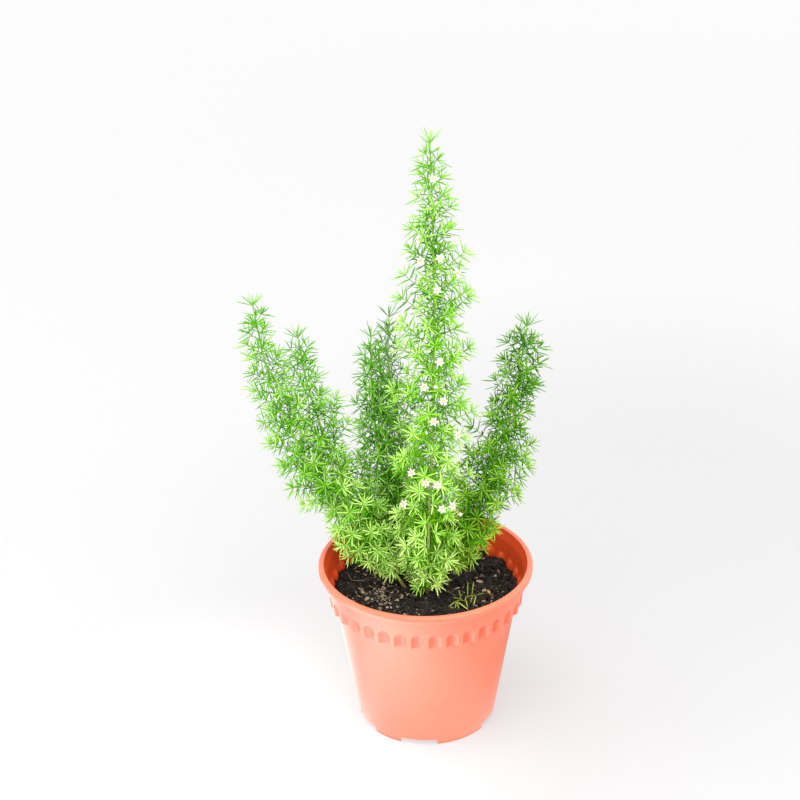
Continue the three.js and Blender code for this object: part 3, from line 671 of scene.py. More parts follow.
def build_pot():
    angles, rings = pot_rings()
    columns = len(angles)
    around = np.stack([np.sin(angles), -np.cos(angles)], 1)
    points = [np.column_stack([around * radii[:, None], heights]) for radii, heights in rings]
    points.append([[0, 0, FOOT_HEIGHT + WALL], [0, 0, FOOT_HEIGHT]])
    hub = len(rings) * columns
    low = np.arange(columns)
    after, last = np.roll(low, -1), hub - columns
    faces = [ring_faces(len(rings), columns), fan(last + low, last + after, hub), fan(after, low, hub + 1)]
    body = Heap().add([np.concatenate(points)], faces)
    pot = body.piece("nursery_pot", [plastic_finish()], "pot_plastic", "pot")
    cutters = pot_cutters()
    cut = pot.modifiers.new("notches and drains", "BOOLEAN")
    cut.operation, cut.solver, cut.object = "DIFFERENCE", "MANIFOLD", cutters
    shaped = bpy.data.meshes.new_from_object(pot.evaluated_get(bpy.context.evaluated_depsgraph_get()))
    pot.modifiers.clear()
    pot.data = shaped
    bpy.data.objects.remove(cutters)
    spots = np.empty(3 * len(shaped.vertices), np.float32)
    shaped.vertices.foreach_get("co", spots)
    x, y, z = ((spots.reshape(-1, 3) - POT_FOOT) / MM).T
    # How deep each point lies in a flute, for the painted shade in the hollows.
    depth = collar_radius(z) + COLLAR_SWELL - np.hypot(x, y)
    banded = (z > COLLAR_BOTTOM + 0.2) & (z < LIP_BOTTOM)
    mark_points(shaped, "painted_hollow_shade", np.where(banded, np.clip(depth / FLUTE_DEPTH, 0, 1), 0))
    shaped.set_sharp_from_angle(angle=math.radians(38))


# ---------------------------------------------------------------- soil


def soil_height(x, y):
    """The soil's level, with waves of two sizes, heaped a little round the stems, as in the model."""
    waves = np.sin(x / 5.1 + 0.4) * np.cos(y / 4.3) + 0.6 * np.sin(x / 9.7 - y / 7.9)
    heap = np.exp(-(x * x + y * y) / SOIL_MOUND_RADIUS**2)
    return SOIL_LEVEL + 0.8 * waves + SOIL_MOUND * heap


def clod_field(random):
    """Heights over a square of overlapping rounded clods of many sizes, with a fine grain."""
    cells = int(2 * FIELD_HALF / FIELD_STEP) + 1
    field = np.zeros((cells, cells))

    def under(middle, clod):
        """The cells along one axis that a clod covers, and their places."""
        first = max(int((middle - clod + FIELD_HALF) / FIELD_STEP), 0)
        end = min(int((middle + clod + FIELD_HALF) / FIELD_STEP) + 1, cells)
        return slice(first, end), np.arange(first, end) * FIELD_STEP - FIELD_HALF

    for radius, count in CLODS:
        places = random.uniform(-FIELD_HALF, FIELD_HALF, (count, 2))
        grown = radius * random.uniform(0.7, 1.25, count)
        lifted = random.uniform(-0.55, 0.25, count) * grown
        for (x, y), clod, lift in zip(places, grown, lifted):
            columns, across = under(x, clod)
            rows, along = under(y, clod)
            away = (across[None] - x) ** 2 + (along[:, None] - y) ** 2
            cap = np.sqrt(np.maximum(clod * clod - away, 0)) * 0.8 + lift
            part = field[rows, columns]
            np.maximum(part, np.where(away < clod * clod, cap, 0), out=part)
    return field + FIELD_GRAIN * random.standard_normal(field.shape)


def disc_grid(cells):
    """The points of a square grid, row by row, spread evenly over a unit disc."""
    line = np.linspace(-1, 1, cells + 1)
    u, v = (side.ravel() for side in np.meshgrid(line, line))
    wide = np.abs(u) >= np.abs(v)
    radius = np.where(wide, u, v)
    ratio = np.divide(np.where(wide, v, u), radius, out=np.zeros_like(u), where=radius != 0)
    angle = np.where(wide, ratio * math.pi / 4, math.pi / 2 - ratio * math.pi / 4)
    return radius * np.cos(angle), radius * np.sin(angle)


def build_soil():
    field = clod_field(np.random.default_rng(301))
    x, y = disc_grid(SOIL_CELLS)
    angle, share = np.arctan2(x, -y), np.hypot(x, y)
    edge = inner_wall_radius(angle, SOIL_LEVEL) - SOIL_GAP
    x, y = x * edge, y * edge
    column, row = (
        np.clip(((spot + FIELD_HALF) / FIELD_STEP).astype(int), 0, len(field) - 2) for spot in (x, y)
    )
    top = soil_height(x, y) - FIELD_SINK + field[row, column] * np.clip((1 - share) * 40, 0.35, 1)
    quads, rim = sheet_faces(np.arange((SOIL_CELLS + 1) ** 2).reshape(SOIL_CELLS + 1, -1))
    # Below its edge the soil fills the pot down to the floor, just clear of the wall.
    shoulder, bottom = COLLAR_BOTTOM + 2 * WALL + SOIL_GAP, FOOT_HEIGHT + WALL + SOIL_GAP
    levels = [
        (inner_wall_radius(angle[rim], shoulder) - SOIL_GAP, shoulder),
        (BODY_TOP_RADIUS - WALL - SOIL_GAP, COLLAR_BOTTOM + WALL),
        (FOOT_RADIUS - WALL - SOIL_GAP, bottom),
    ]
    points, count = [np.column_stack([x, y, top])], len(rim)
    for radius, z in levels:
        points.append(np.column_stack([
            np.sin(angle[rim]) * radius, -np.cos(angle[rim]) * radius, np.full(count, z),
        ]))
    points.append([[0, 0, bottom]])
    first = len(x)
    low = first + np.arange(count)
    after, last = np.roll(low, -1), (len(levels) - 1) * count
    faces = [
        quads, np.stack([rim, low, after, np.roll(rim, -1)], 1),
        flipped(ring_faces(len(levels), count, first)), fan(last + after, last + low, first + last + count),
    ]
    body = Heap().add([np.concatenate(points)], faces)
    body.piece("potting_soil", [soil_finish()], "soil", "soil")


def round_lump():
    """An icosphere: an icosahedron's corners, and those in the middle of each edge, with its triangles."""
    golden = (1 + 5**0.5) / 2
    corners = [np.roll((a, b * golden, 0), shift) for shift in range(3) for b in (1, -1) for a in (-1, 1)]
    triangles = [
        (0, 11, 5), (0, 5, 1), (0, 1, 7), (0, 7, 10), (0, 10, 11), (1, 5, 9), (5, 11, 4), (11, 10, 2),
        (10, 7, 6), (7, 1, 8), (3, 9, 4), (3, 4, 2), (3, 2, 6), (3, 6, 8), (3, 8, 9), (4, 9, 5),
        (2, 4, 11), (6, 2, 10), (8, 6, 7), (9, 8, 1),
    ]
    points, split, halves = list(unit(corners)), [], {}
    for a, b, c in triangles:
        middle = []
        for edge in ((a, b), (b, c), (c, a)):
            key = tuple(sorted(edge))
            if key not in halves:
                halves[key] = len(points)
                points.append(unit(points[edge[0]] + points[edge[1]]))
            middle.append(halves[key])
        ab, bc, ca = middle
        split += [(a, ab, ca), (b, bc, ab), (c, ca, bc), (ab, bc, ca)]
    return np.array(points), np.array(split)


def strewn_lumps(x, y, up, sizes, random, lean, roughness):
    """Irregular lumps at (x, y), up from the soil: round ones with their points pushed about, stretched
    by their sizes, turned about Z by any angle and then leaned a little about X and Y."""
    spins = random.uniform(0, TURN, len(x))
    tips, ways = random.uniform(-lean, lean, (2, len(x)))
    turns = np.array([
        Matrix.Rotation(way, 3, "Y") @ Matrix.Rotation(tip, 3, "X") @ Matrix.Rotation(spin, 3, "Z")
        for spin, tip, way in zip(spins, tips, ways)
    ])
    corners, triangles = round_lump()
    lumps = corners * (1 + roughness * random.uniform(-1, 1, (len(x), len(corners), 1))) * sizes[:, None]
    places = np.column_stack([x, y, soil_height(x, y) + up])
    return np.einsum("nij,nkj->nki", turns, lumps) + places[:, None], [triangles]


def strewn(count, random, clear, reach=64.0, noted=()):
    """X and Y of some noted places and of others over the soil, at least clear from its middle."""
    radius = np.sqrt(random.uniform((clear / reach) ** 2, 1, count)) * reach
    angle = random.uniform(0, TURN, count)
    first = np.array([row[:2] for row in noted]).reshape(-1, 2).T
    return np.concatenate([first, [radius * np.sin(angle), -radius * np.cos(angle)]], 1)


# Chips that stand out on the soil, as (x, y, length, width).
NOTED_CHIPS = [
    (-37.5, 6.7, 6.5, 2.4), (-47.8, -4.5, 6.0, 3.0), (-43.8, -17.3, 4.5, 2.6), (40.9, 6.5, 5.5, 3.0),
    (43.6, -4.9, 5.0, 2.4), (45.8, -5.0, 4.0, 2.2), (23.4, -4.5, 5.0, 2.0), (-30.0, -12.0, 5.0, 2.2),
    (-22.0, -20.0, 4.0, 2.0), (38.0, 12.0, 5.0, 2.4),
]
CHIPS, CRUMBS, PERLITE, FIBRES, SOIL_EDGE = 420, 900, 14, 110, 66
# Many chips lie in a dry patch at the left: how many, its middle and its spread.
PATCH_CHIPS, PATCH_MIDDLE, PATCH_SPREAD = 110, (-34, -9), 9
NOTED_PERLITE = [(-25.8, -31.4), (-21.4, -30.2), (-28.6, 12.2), (-31.4, 0.8), (-34.3, -7.6)]
# A dry twig lies over the soil at the left, as (x, y, height over the soil).
DRY_TWIG = [(-60.0, 24.5, 1.0), (-55.7, 9.9, 2.2), (-50.0, 7.0, 2.4), (-42.1, 6.8, 1.0)]


def build_chips(random):
    places = strewn(CHIPS, random, 8, noted=NOTED_CHIPS)
    noted = np.array(NOTED_CHIPS)
    patch = slice(len(noted), len(noted) + PATCH_CHIPS)
    for line, middle in zip(places, PATCH_MIDDLE):
        line[patch] = middle + PATCH_SPREAD * random.standard_normal(PATCH_CHIPS)
    length = np.concatenate([noted[:, 2], random.uniform(1.2, 4.2, CHIPS)])
    width = np.concatenate([noted[:, 3], random.uniform(0.6, 1.8, CHIPS)])
    sizes = np.column_stack([length / 2, width / 2, random.uniform(0.3, 0.6, len(length))])
    up = random.uniform(0.6, 1.6, len(length))
    tone = np.concatenate([random.uniform(0.6, 1, len(noted)), random.uniform(0, 1, CHIPS) ** 1.4])
    tone[patch] **= 0.6
    lumps = strewn_lumps(*places, up, sizes, random, 0.5, 0.25)
    bark = bit_finish("bark", (0.016, 0.010, 0.005), (0.54, 0.41, 0.28))
    Heap().add(*lumps, tone=tone[:, None]).piece("bark_chips", [bark], "soil", sharp=35)


def build_crumbs(random):
    x, y = strewn(CRUMBS, random, 3, SOIL_EDGE)
    sizes = random.uniform(0.5, 1.9, (CRUMBS, 1)) * random.uniform(0.6, 1.2, (CRUMBS, 3))
    lumps = strewn_lumps(x, y, random.uniform(0.1, 1.3, CRUMBS), sizes, random, 1.5, 0.22)
    Heap().add(*lumps).piece("soil_crumbs", [soil_finish()], "soil", sharp=50)


def build_perlite(random):
    x, y = strewn(PERLITE, random, 20, noted=NOTED_PERLITE)
    sizes = random.uniform(0.5, 1.0, (len(x), 1)) * random.uniform(0.75, 1.2, (len(x), 3))
    lumps = strewn_lumps(x, y, 1.5, sizes, random, 1.5, 0.15)
    white = bit_finish("perlite", (0.36, 0.33, 0.28), (0.6, 0.58, 0.53))
    Heap().add(*lumps, tone=random.uniform(0.4, 1, (len(x), 1))).piece("perlite", [white], "soil")


def build_fibres(random):
    """Fibres that curl over the soil here and there, and the dry twig."""
    steps = 7
    x, y = strewn(FIBRES, random, 6)
    angle = random.uniform(0, TURN, FIBRES)
    length = random.uniform(4, 15, FIBRES)
    curl = random.uniform(-1.3, 1.3, FIBRES)
    shares = np.linspace(0, 1, steps)
    turn = angle[:, None] + curl[:, None] * shares
    x, y = (
        start[:, None] + np.cumsum(way(turn), 1) * length[:, None] / steps
        for start, way in ((x, np.cos), (y, np.sin))
    )
    inside = np.hypot(x, y).max(1) < SOIL_EDGE
    x, y, count = x[inside], y[inside], inside.sum()
    lift = 1.3 + random.uniform(0, 0.9, (count, 1))
    lift = lift + 1.6 * np.sin(math.pi * shares) * random.uniform(0, 1, (count, 1))
    line = np.stack([x, y, soil_height(x, y) + lift], -1)
    fibres = Heap()
    radii, tone = random.uniform(0.09, 0.24, (count, 1)), random.uniform(0, 1, (count, 1)) ** 2
    fibres.tubes(line, radii, 5, tone=tone)
    twig = smooth_line([(a, b, soil_height(a, b) + up) for a, b, up in DRY_TWIG], 14)
    fibres.tubes([twig], np.linspace(0.38, 0.22, 14), 6, tone=0.9)
    fibres.piece("dry_fibres", [bit_finish("fibre", (0.03, 0.02, 0.012), (0.28, 0.24, 0.17))], "soil")


# ---------------------------------------------------------------- plumes

STEM_BASE_RADIUS, STEM_TIP_RADIUS = 1.45, 0.45
# A needle is flat and slender, widest beyond its middle, and pointed at both ends.
NEEDLE_LENGTH, NEEDLE_WIDTH, NEEDLE_THICKNESS, NEEDLE_OVERHANG, NEEDLE_LIFT = 11.8, 1.1, 0.7, 0.7, 0.1
NEEDLE_STATIONS = np.array([0.12, 0.55, 0.86])
NEEDLE_WIDTHS = np.array([0.68, 1.0, 0.66])
# How a twig's whorls go, from its end: distance back, needles, tilt from the twig, share of length,
# and how much lighter their tone is than the rest: painted light on the end whorls and painted shade on
# the inner ones, where the plume shades itself.
WHORLS = [
    (0.0, 5, 0.6, 0.75, 0.2), (0.6, 10, 1.2, 1.0, 0.15), (4.4, 8, 1.35, 0.95, -0.12),
    (9.2, 7, 1.3, 0.9, -0.25), (14.2, 7, 1.3, 0.87, -0.32), (19.4, 6, 1.3, 0.83, -0.38),
    (25.0, 5, 1.3, 0.8, -0.4),
]
# Twigs crowd towards the soil, and some stay short. Near the top they tilt less and have fewer needles.
CROWDING, FOOT_TILT, TOP_TILT = 1.15, 1.25, 0.8
SHORT_TWIGS, SHORT_SPAN, LONG_SPAN, LEAST_TWIG = 0.35, (0.38, 0.75), (0.86, 1.04), 3.5
TWIG_RADII = np.linspace(0.42, 0.24, 6)
TOP_THINNING, TOP_SLIMNESS, FOOT_SHORTNESS = 0.45, 0.9, 0.8
# The tone of a plume's top, what its foot has more, which is painted light where the foliage above
# shades the foot, and how far twigs and needles vary from it.
TOP_TONE, FOOT_PAINTED_LIGHT, TWIG_VARIETY, NEEDLE_VARIETY = 0.31, 0.54, 0.16, 0.2
# The stem's end is a leading twig: how long it is, and how far from its tip the last side twig grows.
LEADER, TOP_TWIG = 14.0, 13
# Needles leave free the space before a flower's face, and before the front plume's stem at some heights:
# how far ahead, and within which radius.
CLEAR_AHEAD, CLEAR_RADIUS = 9.0, 2.6
STEM_AHEAD, STEM_CLEAR = 40.0, 1.7
STEM_SHOWS = [(146, 166), (177, 186), (196, 201), (214, 222)]


def needle_bodies(roots, ways, sides, lengths, widths, bends):
    """Needles from roots along ways, as wide as widths towards sides, curved by bends at the tip."""
    stations = NEEDLE_STATIONS[None, :, None]
    centres = roots[:, None] + ways[:, None] * lengths[:, None, None] * stations
    centres = centres + bends[:, None] * stations**2
    sides = unit(sides - ways * np.sum(sides * ways, 1, keepdims=True))
    thick = np.cross(ways, sides)[:, None]
    half = widths[:, None, None] * NEEDLE_WIDTHS[None, :, None] / 2
    flat = half * NEEDLE_THICKNESS / NEEDLE_WIDTH
    wide, thick = sides[:, None] * half, thick * flat
    rings = np.stack([centres + wide, centres + thick, centres - wide, centres - thick], 2)
    tips = roots + ways * lengths[:, None] + bends
    points = np.concatenate([roots[:, None], rings.reshape(len(roots), -1, 3), tips[:, None]], 1)
    along = np.concatenate([[0], np.repeat(NEEDLE_STATIONS, 4), [1]])
    return points, spindle_faces(len(NEEDLE_STATIONS), 4), along


def needle_length(height):
    """Needles are shorter near the soil than at a plume's top."""
    return NEEDLE_LENGTH * (FOOT_SHORTNESS + (1 - FOOT_SHORTNESS) * height)


def stem_line(plume):
    x, y = plume["base"]
    return smooth_line([(x, y, SOIL_LEVEL - SOIL_HOLE_DEPTH), (x, y, SOIL_LEVEL - 6), *plume["stem"]], 401)


def fanned(axis, tilt, turn):
    """A direction tilted away from an axis and turned about it."""
    side = unit(np.cross((0.37, -0.21, 0.9), axis))
    out = side * math.cos(turn) + np.cross(axis, side) * math.sin(turn)
    return unit(axis * math.cos(tilt) + out * math.sin(tilt))


class Foliage:
    """The needles and twigs of one plume, as they grow. A needle is its root, way, length, tone, width
    and the axis that it grows round."""

    def __init__(self, seed):
        self.random = np.random.default_rng(seed)
        self.grown, self.twigs = [], []

    def whorl(self, place, axis, count, tilt, length, tone, width):
        draw = self.random.uniform
        start = draw(0, TURN)
        for k in range(count):
            turn = start + TURN * k / count + draw(-0.3, 0.3)
            way = unit(fanned(axis, tilt + draw(-0.2, 0.2), turn) + (0, 0, NEEDLE_LIFT))
            self.grown.append((
                place, way, length * draw(0.78, 1.12), tone + draw(-NEEDLE_VARIETY, NEEDLE_VARIETY),
                width * draw(0.85, 1.12), axis,
            ))

    def twig(self, root, axis, length, tone, height):
        """A twig with its whorls; it bows a little, and both its ends stay where they are."""
        bow = fanned(axis, math.pi / 2, self.random.uniform(0, TURN)) * 0.05 * length
        shares = np.linspace(0, 1, len(TWIG_RADII))[:, None]
        self.twigs.append(root + axis * length * shares + bow * (4 * shares * (1 - shares)))
        # Each whorl's tone is shifted: painted light at the twig's end, painted shade on the inner whorls.
        for back, count, tilt, size, painted_light_shift in WHORLS:
            back += self.random.uniform(-0.5, 0.5) * (back > 0)
            if back > length - 2.5:
                break
            share = 1 - back / length
            place = root + axis * length * share + bow * 4 * share * (1 - share)
            along = unit(axis * length + bow * 4 * (1 - 2 * share))
            count = round(count * (1 - TOP_THINNING * height))
            width = 1 + (TOP_SLIMNESS - 1) * height
            self.whorl(place, along, count, tilt, needle_length(height) * size, tone + painted_light_shift, width)

    def columns(self):
        return [np.array(column) for column in zip(*self.grown)]

    def clear_before(self, centres, facings, reach, radius):
        """Drops the needles that would stand before these places, within a radius of each line of sight."""
        roots, ways, lengths = self.columns()[:3]
        shares = np.linspace(0, 1, 6)[None, :, None]
        samples = roots[:, None] + ways[:, None] * lengths[:, None, None] * shares
        keep = np.ones(len(roots), bool)
        for centre, facing in zip(centres, facings):
            ahead = np.clip((samples - centre) @ facing, -1, reach)
            away = np.linalg.norm(samples - centre - ahead[..., None] * facing, axis=-1)
            keep &= away.min(1) > radius
        self.grown = [needle for needle, kept in zip(self.grown, keep) if kept]

    def needles(self):
        """A heap of all the needles."""
        roots, ways, lengths, tones, widths, axes = self.columns()
        count = len(roots)
        sides = np.cross(ways, axes + 0.35 * self.random.standard_normal((count, 3)))
        square = unit(np.cross(ways, self.random.standard_normal((count, 3))))
        bends = square * lengths[:, None] * self.random.uniform(0.0, 0.07, (count, 1))
        points, faces, along = needle_bodies(roots, ways, sides, lengths, NEEDLE_WIDTH * widths, bends)
        return Heap().add(points, faces, along=along[None], tone=np.clip(tones, 0, 1)[:, None])


def grown_plume(plume, line):
    """A plume's foliage: its twigs from the soil up, then the leader's whorls."""
    steps = len(line) - 1
    length = np.linalg.norm(np.diff(line, axis=0), axis=1).sum()
    bare = int(np.argmax(line[:, 2] > SOIL_LEVEL)) / steps + plume["bare"]
    top = 1 - TOP_TWIG / length
    growth = Foliage(plume["seed"])
    draw = growth.random.uniform
    for i in range(plume["twigs"]):
        rank = i / (plume["twigs"] - 1)
        share = bare + (top - bare) * rank * (1 + CROWDING * rank) / (1 + CROWDING)
        height = (share - bare) / (1 - bare)
        at = int(round(share * steps))
        root, axis = line[at], unit(line[min(at + 1, steps)] - line[at - 1])
        tilt = FOOT_TILT + (TOP_TILT - FOOT_TILT) * height + draw(-0.09, 0.09)
        full = (value_at(plume["reach"], height) - NEEDLE_OVERHANG * needle_length(height)) / math.sin(tilt)
        span = SHORT_SPAN if draw() < SHORT_TWIGS else LONG_SPAN
        long = max(LEAST_TWIG, full * draw(*span))
        way = fanned(axis, tilt, i * GOLDEN_ANGLE + draw(-0.2, 0.2))
        if root[2] + way[2] * long < SOIL_LEVEL + 5:
            way = unit(way + (0, 0, 0.5))
        # Tones rise towards the foot: painted light.
        tone = TOP_TONE + FOOT_PAINTED_LIGHT * (1 - height) + draw(-TWIG_VARIETY, TWIG_VARIETY)
        growth.twig(root, way, long, tone, height)
    # The leader's last whorl is a fan of long upright needles.
    at = int(round((1 - LEADER / length) * steps))
    axis = unit(line[-1] - line[at])
    for place, count, tilt, size, tone in (
        (line[at] + axis * LEADER * 0.45, 6, 1.25, 0.85, 0.45), (line[-1], 2, 0.35, 0.7, 0.55),
        (line[-1] - axis * 0.6, 8, 0.95, 1.1, 0.5),
    ):
        growth.whorl(place, axis, count, tilt, size * NEEDLE_LENGTH, tone, TOP_SLIMNESS)
    return growth


def build_plume(plume, stem, flowers=()):
    line, name = stem_line(plume), plume["node"]
    growth = grown_plume(plume, line)
    if flowers:
        _, centres, facings, _ = zip(*flowers)
        growth.clear_before(centres, facings, CLEAR_AHEAD, CLEAR_RADIUS)
        shown = [p for low, high in STEM_SHOWS for p in line if low < p[2] < high][::2]
        growth.clear_before(shown, unit(np.subtract(CAMERA_PLACE, shown)), STEM_AHEAD, STEM_CLEAR)
    green = needle_finish(f"{name}_green", plume["tint_and_light"])
    growth.needles().piece(f"{name}_needles", [green], plume["slot"], name)

    def risen(z):
        """The share of the stem's height above the soil."""
        return np.clip((z - SOIL_LEVEL) / (line[-1, 2] - SOIL_LEVEL), 0, 1)

    wood, rings = Heap(), line[::10]
    radii = np.linspace(STEM_BASE_RADIUS, STEM_TIP_RADIUS, len(rings))
    wood.tubes([rings], radii, 10, rise=np.repeat(risen(rings[:, 2]), 10))
    points, faces = tube_bodies(growth.twigs, TWIG_RADII, 5)
    wood.add(points, faces, rise=0.75 + 0.25 * risen(points[:, :, 2]))
    for _, centre, facing, hub in flowers:
        foot = centre - facing * (BLOOM_PEDICEL - 0.1)
        stalk = smooth_line([hub, (hub + foot) / 2 - (0, 0, 1), foot], 7)
        wood.tubes([stalk], np.linspace(0.4, 0.26, 7), 6, rise=0.8)
    wood.piece(f"{name}_stem", [stem], plume["slot"], name)


# ---------------------------------------------------------------- flowers


def petal_body(length, width):
    """One petal along +X, lifted towards +Z, as a thin closed leaf with a crease down its middle."""
    long, wide = 7, 5
    u, v = np.meshgrid(np.linspace(0, 1, long), np.linspace(-1, 1, wide), indexing="ij")
    half = width / 2 * np.sin(math.pi * np.clip(u * 0.93 + 0.05, 0, 1)) ** 0.75
    z = length * (0.34 * u - 0.42 * u**2.2) - 0.32 * width * (1 - v**2) * u * (1 - u)
    skin = 0.09 * np.clip(1 - np.abs(v), 0.12, 1) * np.clip(4 * (1 - u), 0.2, 1)
    sides = [np.stack([length * u, half * v, z + way * skin], -1).reshape(-1, 3) for way in (1, -1)]
    quads, rim = sheet_faces(np.arange(long * wide).reshape(long, wide))
    up, after, below = flipped(quads), np.roll(rim, -1), long * wide
    edge = np.stack([rim, after, after + below, rim + below], 1)
    return np.concatenate(sides), [up, up[:, ::-1] + below, edge], np.tile(u.ravel(), 2)


def facing_frame(facing):
    """A turn that takes +Z to where a flower or lamp looks, as a matrix of columns."""
    side = unit(np.cross((0, 0, 1), facing))
    return np.column_stack([side, np.cross(facing, side), facing])


def flower_spots():
    """Each flower and bud: its node, its centre, where it looks and its stalk's hub, as in the model."""
    line = stem_line(PLUMES[0])
    listed = [(h, a, -1, f"bloom_{i + 1}") for i, (h, a) in enumerate(FRONT_BLOOMS)]
    for i in range(BACK_BLOOMS):
        height = BACK_BLOOM_FROM + (BACK_BLOOM_TO - BACK_BLOOM_FROM) * i / (BACK_BLOOMS - 1)
        across = BACK_BLOOM_ACROSS * math.sin(i * GOLDEN_ANGLE) * (1 - 0.5 * i / BACK_BLOOMS)
        listed.append((height, across, 1, f"bloom_{len(FRONT_BLOOMS) + i + 1}"))
    listed += [(h, a, -1, f"bud_{i + 1}") for i, (h, a) in enumerate(FRONT_BUDS)]
    spots = []
    for height, across, way, node in listed:
        hub = line[int(np.argmax(line[:, 2] > height - BLOOM_DROP))]
        share = (height - SOIL_LEVEL) / (line[-1, 2] - SOIL_LEVEL)
        out = max(value_at(BLOOM_REACH, share) - BLOOM_INSET, abs(across) + 0.75)
        depth = math.sqrt(out**2 - across**2)
        centre = np.array([hub[0] + across, hub[1] + way * depth, height])
        facing = unit([centre[0] - hub[0], centre[1] - hub[1], 0])
        spots.append((node, centre, unit(facing + (0, 0, BLOOM_UP)), hub))
    return spots


def build_flower(node, centre, facing, finishes, random):
    """A six-petalled flower with its pedicel, ovary and six stamens tipped with orange anthers."""
    frame = facing_frame(facing).T
    spin = random.uniform(0, TURN / PETALS)
    petal, petal_faces, along = petal_body(BLOOM_RADIUS, PETAL_WIDTH)
    ball, ball_faces = ball_body(6, 8)
    petals, stamens, anthers = [], [], []
    for k in range(PETALS):
        angle = spin + k * TURN / PETALS + random.uniform(-0.08, 0.08)
        grown = petal * (1, 1 if k % 2 else 0.86, 1) * random.uniform(0.92, 1.04)
        turn = Matrix.Rotation(angle, 3, "Z") @ Matrix.Rotation(random.uniform(-0.25, 0.1), 3, "Y")
        petals.append(grown @ np.array(turn).T @ frame + centre)
    for k in range(PETALS):
        angle = spin + (k + 0.5) * TURN / PETALS
        out = np.array([math.cos(angle), math.sin(angle), 0])
        tip = out * random.uniform(1.0, 1.5) + (0, 0, random.uniform(1.0, 1.5))
        stamens.append(np.linspace([0, 0, 0.2], tip, 4) @ frame + centre)
        anthers.append((ball * (0.26, 0.26, 0.4) + tip) @ frame + centre)
    parts = Heap().add(petals, petal_faces, 0, along=along[None])
    parts.add([ball * (0.45, 0.45, 0.6) @ frame + centre], ball_faces, 1, along=0.2)
    parts.tubes(stamens, 0.09, 4, 0, along=0.9)
    parts.add(anthers, ball_faces, 2, along=0.5)
    stalk = np.linspace(centre - facing * BLOOM_PEDICEL, centre, 4)
    parts.tubes([stalk], (0.26, 0.26, 0.32, 0.42), 6, 1, along=0.5)
    parts.piece(node.replace("bloom", "flower"), finishes, "petal", node)


def build_bud(node, centre, facing, finishes):
    """A closed bud: a ribbed drop, white above and green at its foot."""
    ball, faces = ball_body(10, 12)
    ridge = 1 + 0.07 * np.cos(6 * np.arctan2(ball[:, 1], ball[:, 0]))
    wide = 1.1 * ridge * (1.15 - 0.3 * ball[:, 2])
    drop = ball * np.column_stack([wide, wide, np.full(len(ball), 1.75)])
    parts = Heap().add(
        [drop @ facing_frame(facing).T + centre], faces, 0, along=np.clip(0.5 + 0.5 * ball[:, 2], 0, 1),
    )
    stalk = np.linspace(centre - facing * BLOOM_PEDICEL, centre - facing, 3)
    parts.tubes([stalk], (0.26, 0.28, 0.4), 6, 1, along=0.5)
    parts.piece(node.replace("bud", "closed_bud"), finishes, "petal", node)


def build_flowers(spots):
    random = np.random.default_rng(401)
    finishes = [
        petal_finish(),
        plain_finish("pedicel", (0.32, 0.47, 0.12), 0.1, 0.55),
        plain_finish("anther", (0.70, 0.32, 0.05), 0.15, 0.7, bump=0.6),
    ]
    for node, centre, facing, _ in spots:
        if node.startswith("bloom"):
            build_flower(node, centre, facing, finishes, random)
        else:
            build_bud(node, centre, facing, finishes)


# ---------------------------------------------------------------- shoot and fertiliser bead


def build_shoot():
    """A low seedling spray of thin dry-tipped needles at the right of the soil."""
    growth = Foliage(502)
    for root, tip, tone in SPRAY_NEEDLES:
        way = np.subtract(tip, root)
        growth.grown.append((root, unit(way), np.linalg.norm(way), tone, SPRAY_NEEDLE_WIDTH, SPRAY_AXIS))
    spray = growth.needles()
    for twig in SPRAY_TWIGS:
        line, tone = smooth_line(twig, 6), SPRAY_TWIG_TONE
        spray.tubes([line], np.linspace(0.45, 0.25, 6), 6, along=tone, tone=tone)
    green = needle_finish("seedling_green", "seedling")
    spray.piece("seedling_spray", [green], "shoot", "young_shoot")


def build_prill():
    low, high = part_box("fertiliser_prill")
    middle = (np.array((low + high) / 2) - POT_FOOT) / MM
    ball, faces = ball_body(16, 24)
    dent = 1 + 0.03 * np.sin(5 * ball[:, :1] + 1) * np.cos(4 * ball[:, 1:2])
    coat = plain_finish("prill_coat", (0.62, 0.27, 0.03), 0.12, 0.3, 900.0, 0.1)
    bead = Heap().add([ball * dent * PRILL_RADIUS + middle], faces)
    bead.piece("fertiliser_bead", [coat], "prill", "fertiliser_prill")


# ---------------------------------------------------------------- stage


def glowing_sheet(name, left, right, front, back, z, finish, grey, strength):
    """A flat sheet of the stage that gives off white light of this strength."""
    finish.wear(Base_Color=(grey,) * 3, Emission_Color=(1, 1, 1), Emission_Strength=strength)
    mesh = bpy.data.meshes.new(name)
    corners = [(left, front, z), (right, front, z), (right, back, z), (left, back, z)]
    mesh.from_pydata(corners, [], [(0, 1, 2, 3)])
    mesh.materials.append(finish.material)
    return linked(name, mesh)


def build_floor():
    """A wide pale floor that glows, with a painted pool of light beside the pot and a painted shadow behind
    it at the right.
    """
    finish, strength = Finish("pale_floor", 0.9, 0.0), 0.0
    spot = finish.place()
    for place, (start, end), (near, beyond) in FLOOR_PAINTED_LIGHT_AND_SHADOW:
        away = finish.node("VectorMath", spot, place, operation="DISTANCE", out="Value")
        floor_glow_and_shadow = finish.node("MapRange", away, start, end, near, beyond, interpolation_type="SMOOTHSTEP")
        strength = finish.node("Math", floor_glow_and_shadow, strength, operation="ADD")
    sides = (-FLOOR_HALF, FLOOR_HALF, -FLOOR_HALF, FLOOR_HALF)
    floor = glowing_sheet("floor", *sides, POT_FOOT[2], finish, FLOOR_GREY, strength)


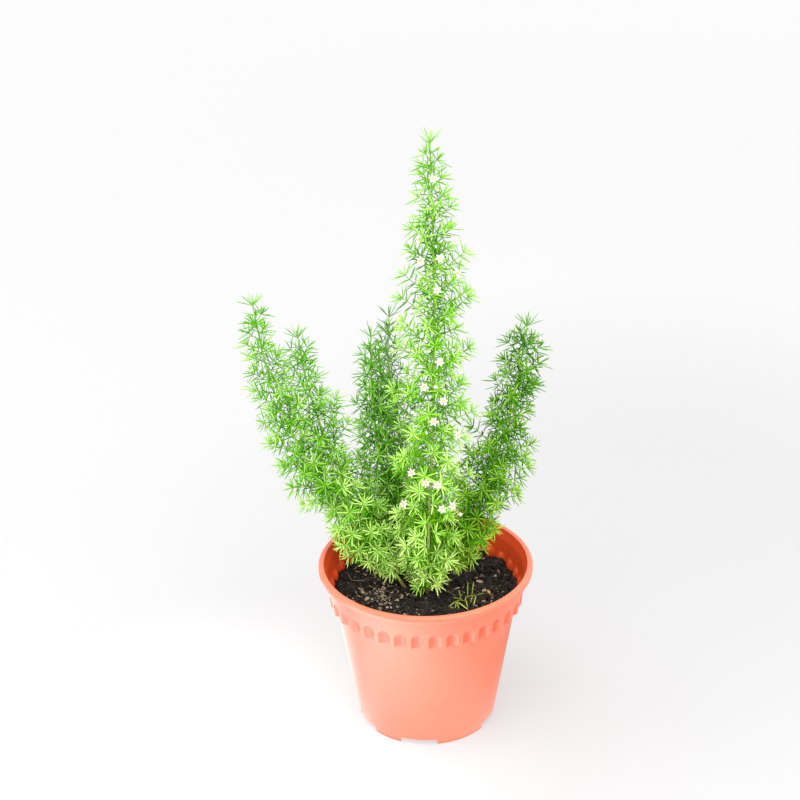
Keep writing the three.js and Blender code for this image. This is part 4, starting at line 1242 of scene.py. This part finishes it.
def build_glare():
    """A sheet on the table whose light shows in sheens alone, strongest at the left of the pot."""
    finish, strength = Finish("glare", 1.0, 0.0), GLARE
    spot = finish.node("SeparateXYZ", finish.place()).node.outputs
    for axis, full, gone, rest in GLARE_FADES:
        fade = finish.node("MapRange", spot[axis], full, gone, 1.0, rest)
        strength = finish.node("Math", fade, strength, operation="MULTIPLY")
    glare = glowing_sheet("glare", *GLARE_SHEET, GLARE_HEIGHT, finish, 0, strength)
    glare.location = POT_FOOT
    glare.visible_camera = glare.visible_diffuse = glare.visible_shadow = False


def build_light():
    """A bright even sky and the lamps."""
    world = bpy.data.worlds.new("studio")
    world.use_nodes = True
    sky = world.node_tree.nodes["Background"].inputs
    sky["Color"].default_value = (1, 1, 1, 1)
    sky["Strength"].default_value = SKY
    bpy.context.scene.world = world
    for name, way, away, size, power in LAMPS:
        lamp = bpy.data.lights.new(name, "AREA")
        lamp.shape, lamp.size, lamp.energy = "SQUARE", size, power
        way = unit(way)
        place = Matrix.Translation(placed(LAMPS_AIM) + way * away)
        linked(name, lamp).matrix_world = place @ Matrix(facing_frame(way).tolist()).to_4x4()


def build_camera():
    camera = linked("camera", bpy.data.cameras.new("camera"))
    camera.data.lens, camera.data.sensor_width = CAMERA_LENS, CAMERA_SENSOR
    yaw, pitch, roll = (math.radians(a) for a in (CAMERA_YAW, CAMERA_PITCH, CAMERA_ROLL))
    turn = Matrix.Rotation(yaw, 4, "Z") @ Matrix.Rotation(pitch, 4, "X") @ Matrix.Rotation(roll, 4, "Z")
    camera.matrix_world = Matrix.Translation(placed(CAMERA_PLACE)) @ turn
    bpy.context.scene.camera = camera


bpy.context.scene.view_settings.view_transform = "Standard"
build_camera()
build_floor()
build_light()
build_glare()
build_pot()
build_soil()
soil_random = np.random.default_rng(311)
for build_bits in (build_chips, build_crumbs, build_perlite, build_fibres):
    build_bits(soil_random)
flowers = flower_spots()
build_flowers(flowers)
stem = stem_finish()
for plume in PLUMES:
    build_plume(plume, stem, flowers if plume is PLUMES[0] else ())
build_shoot()
build_prill()
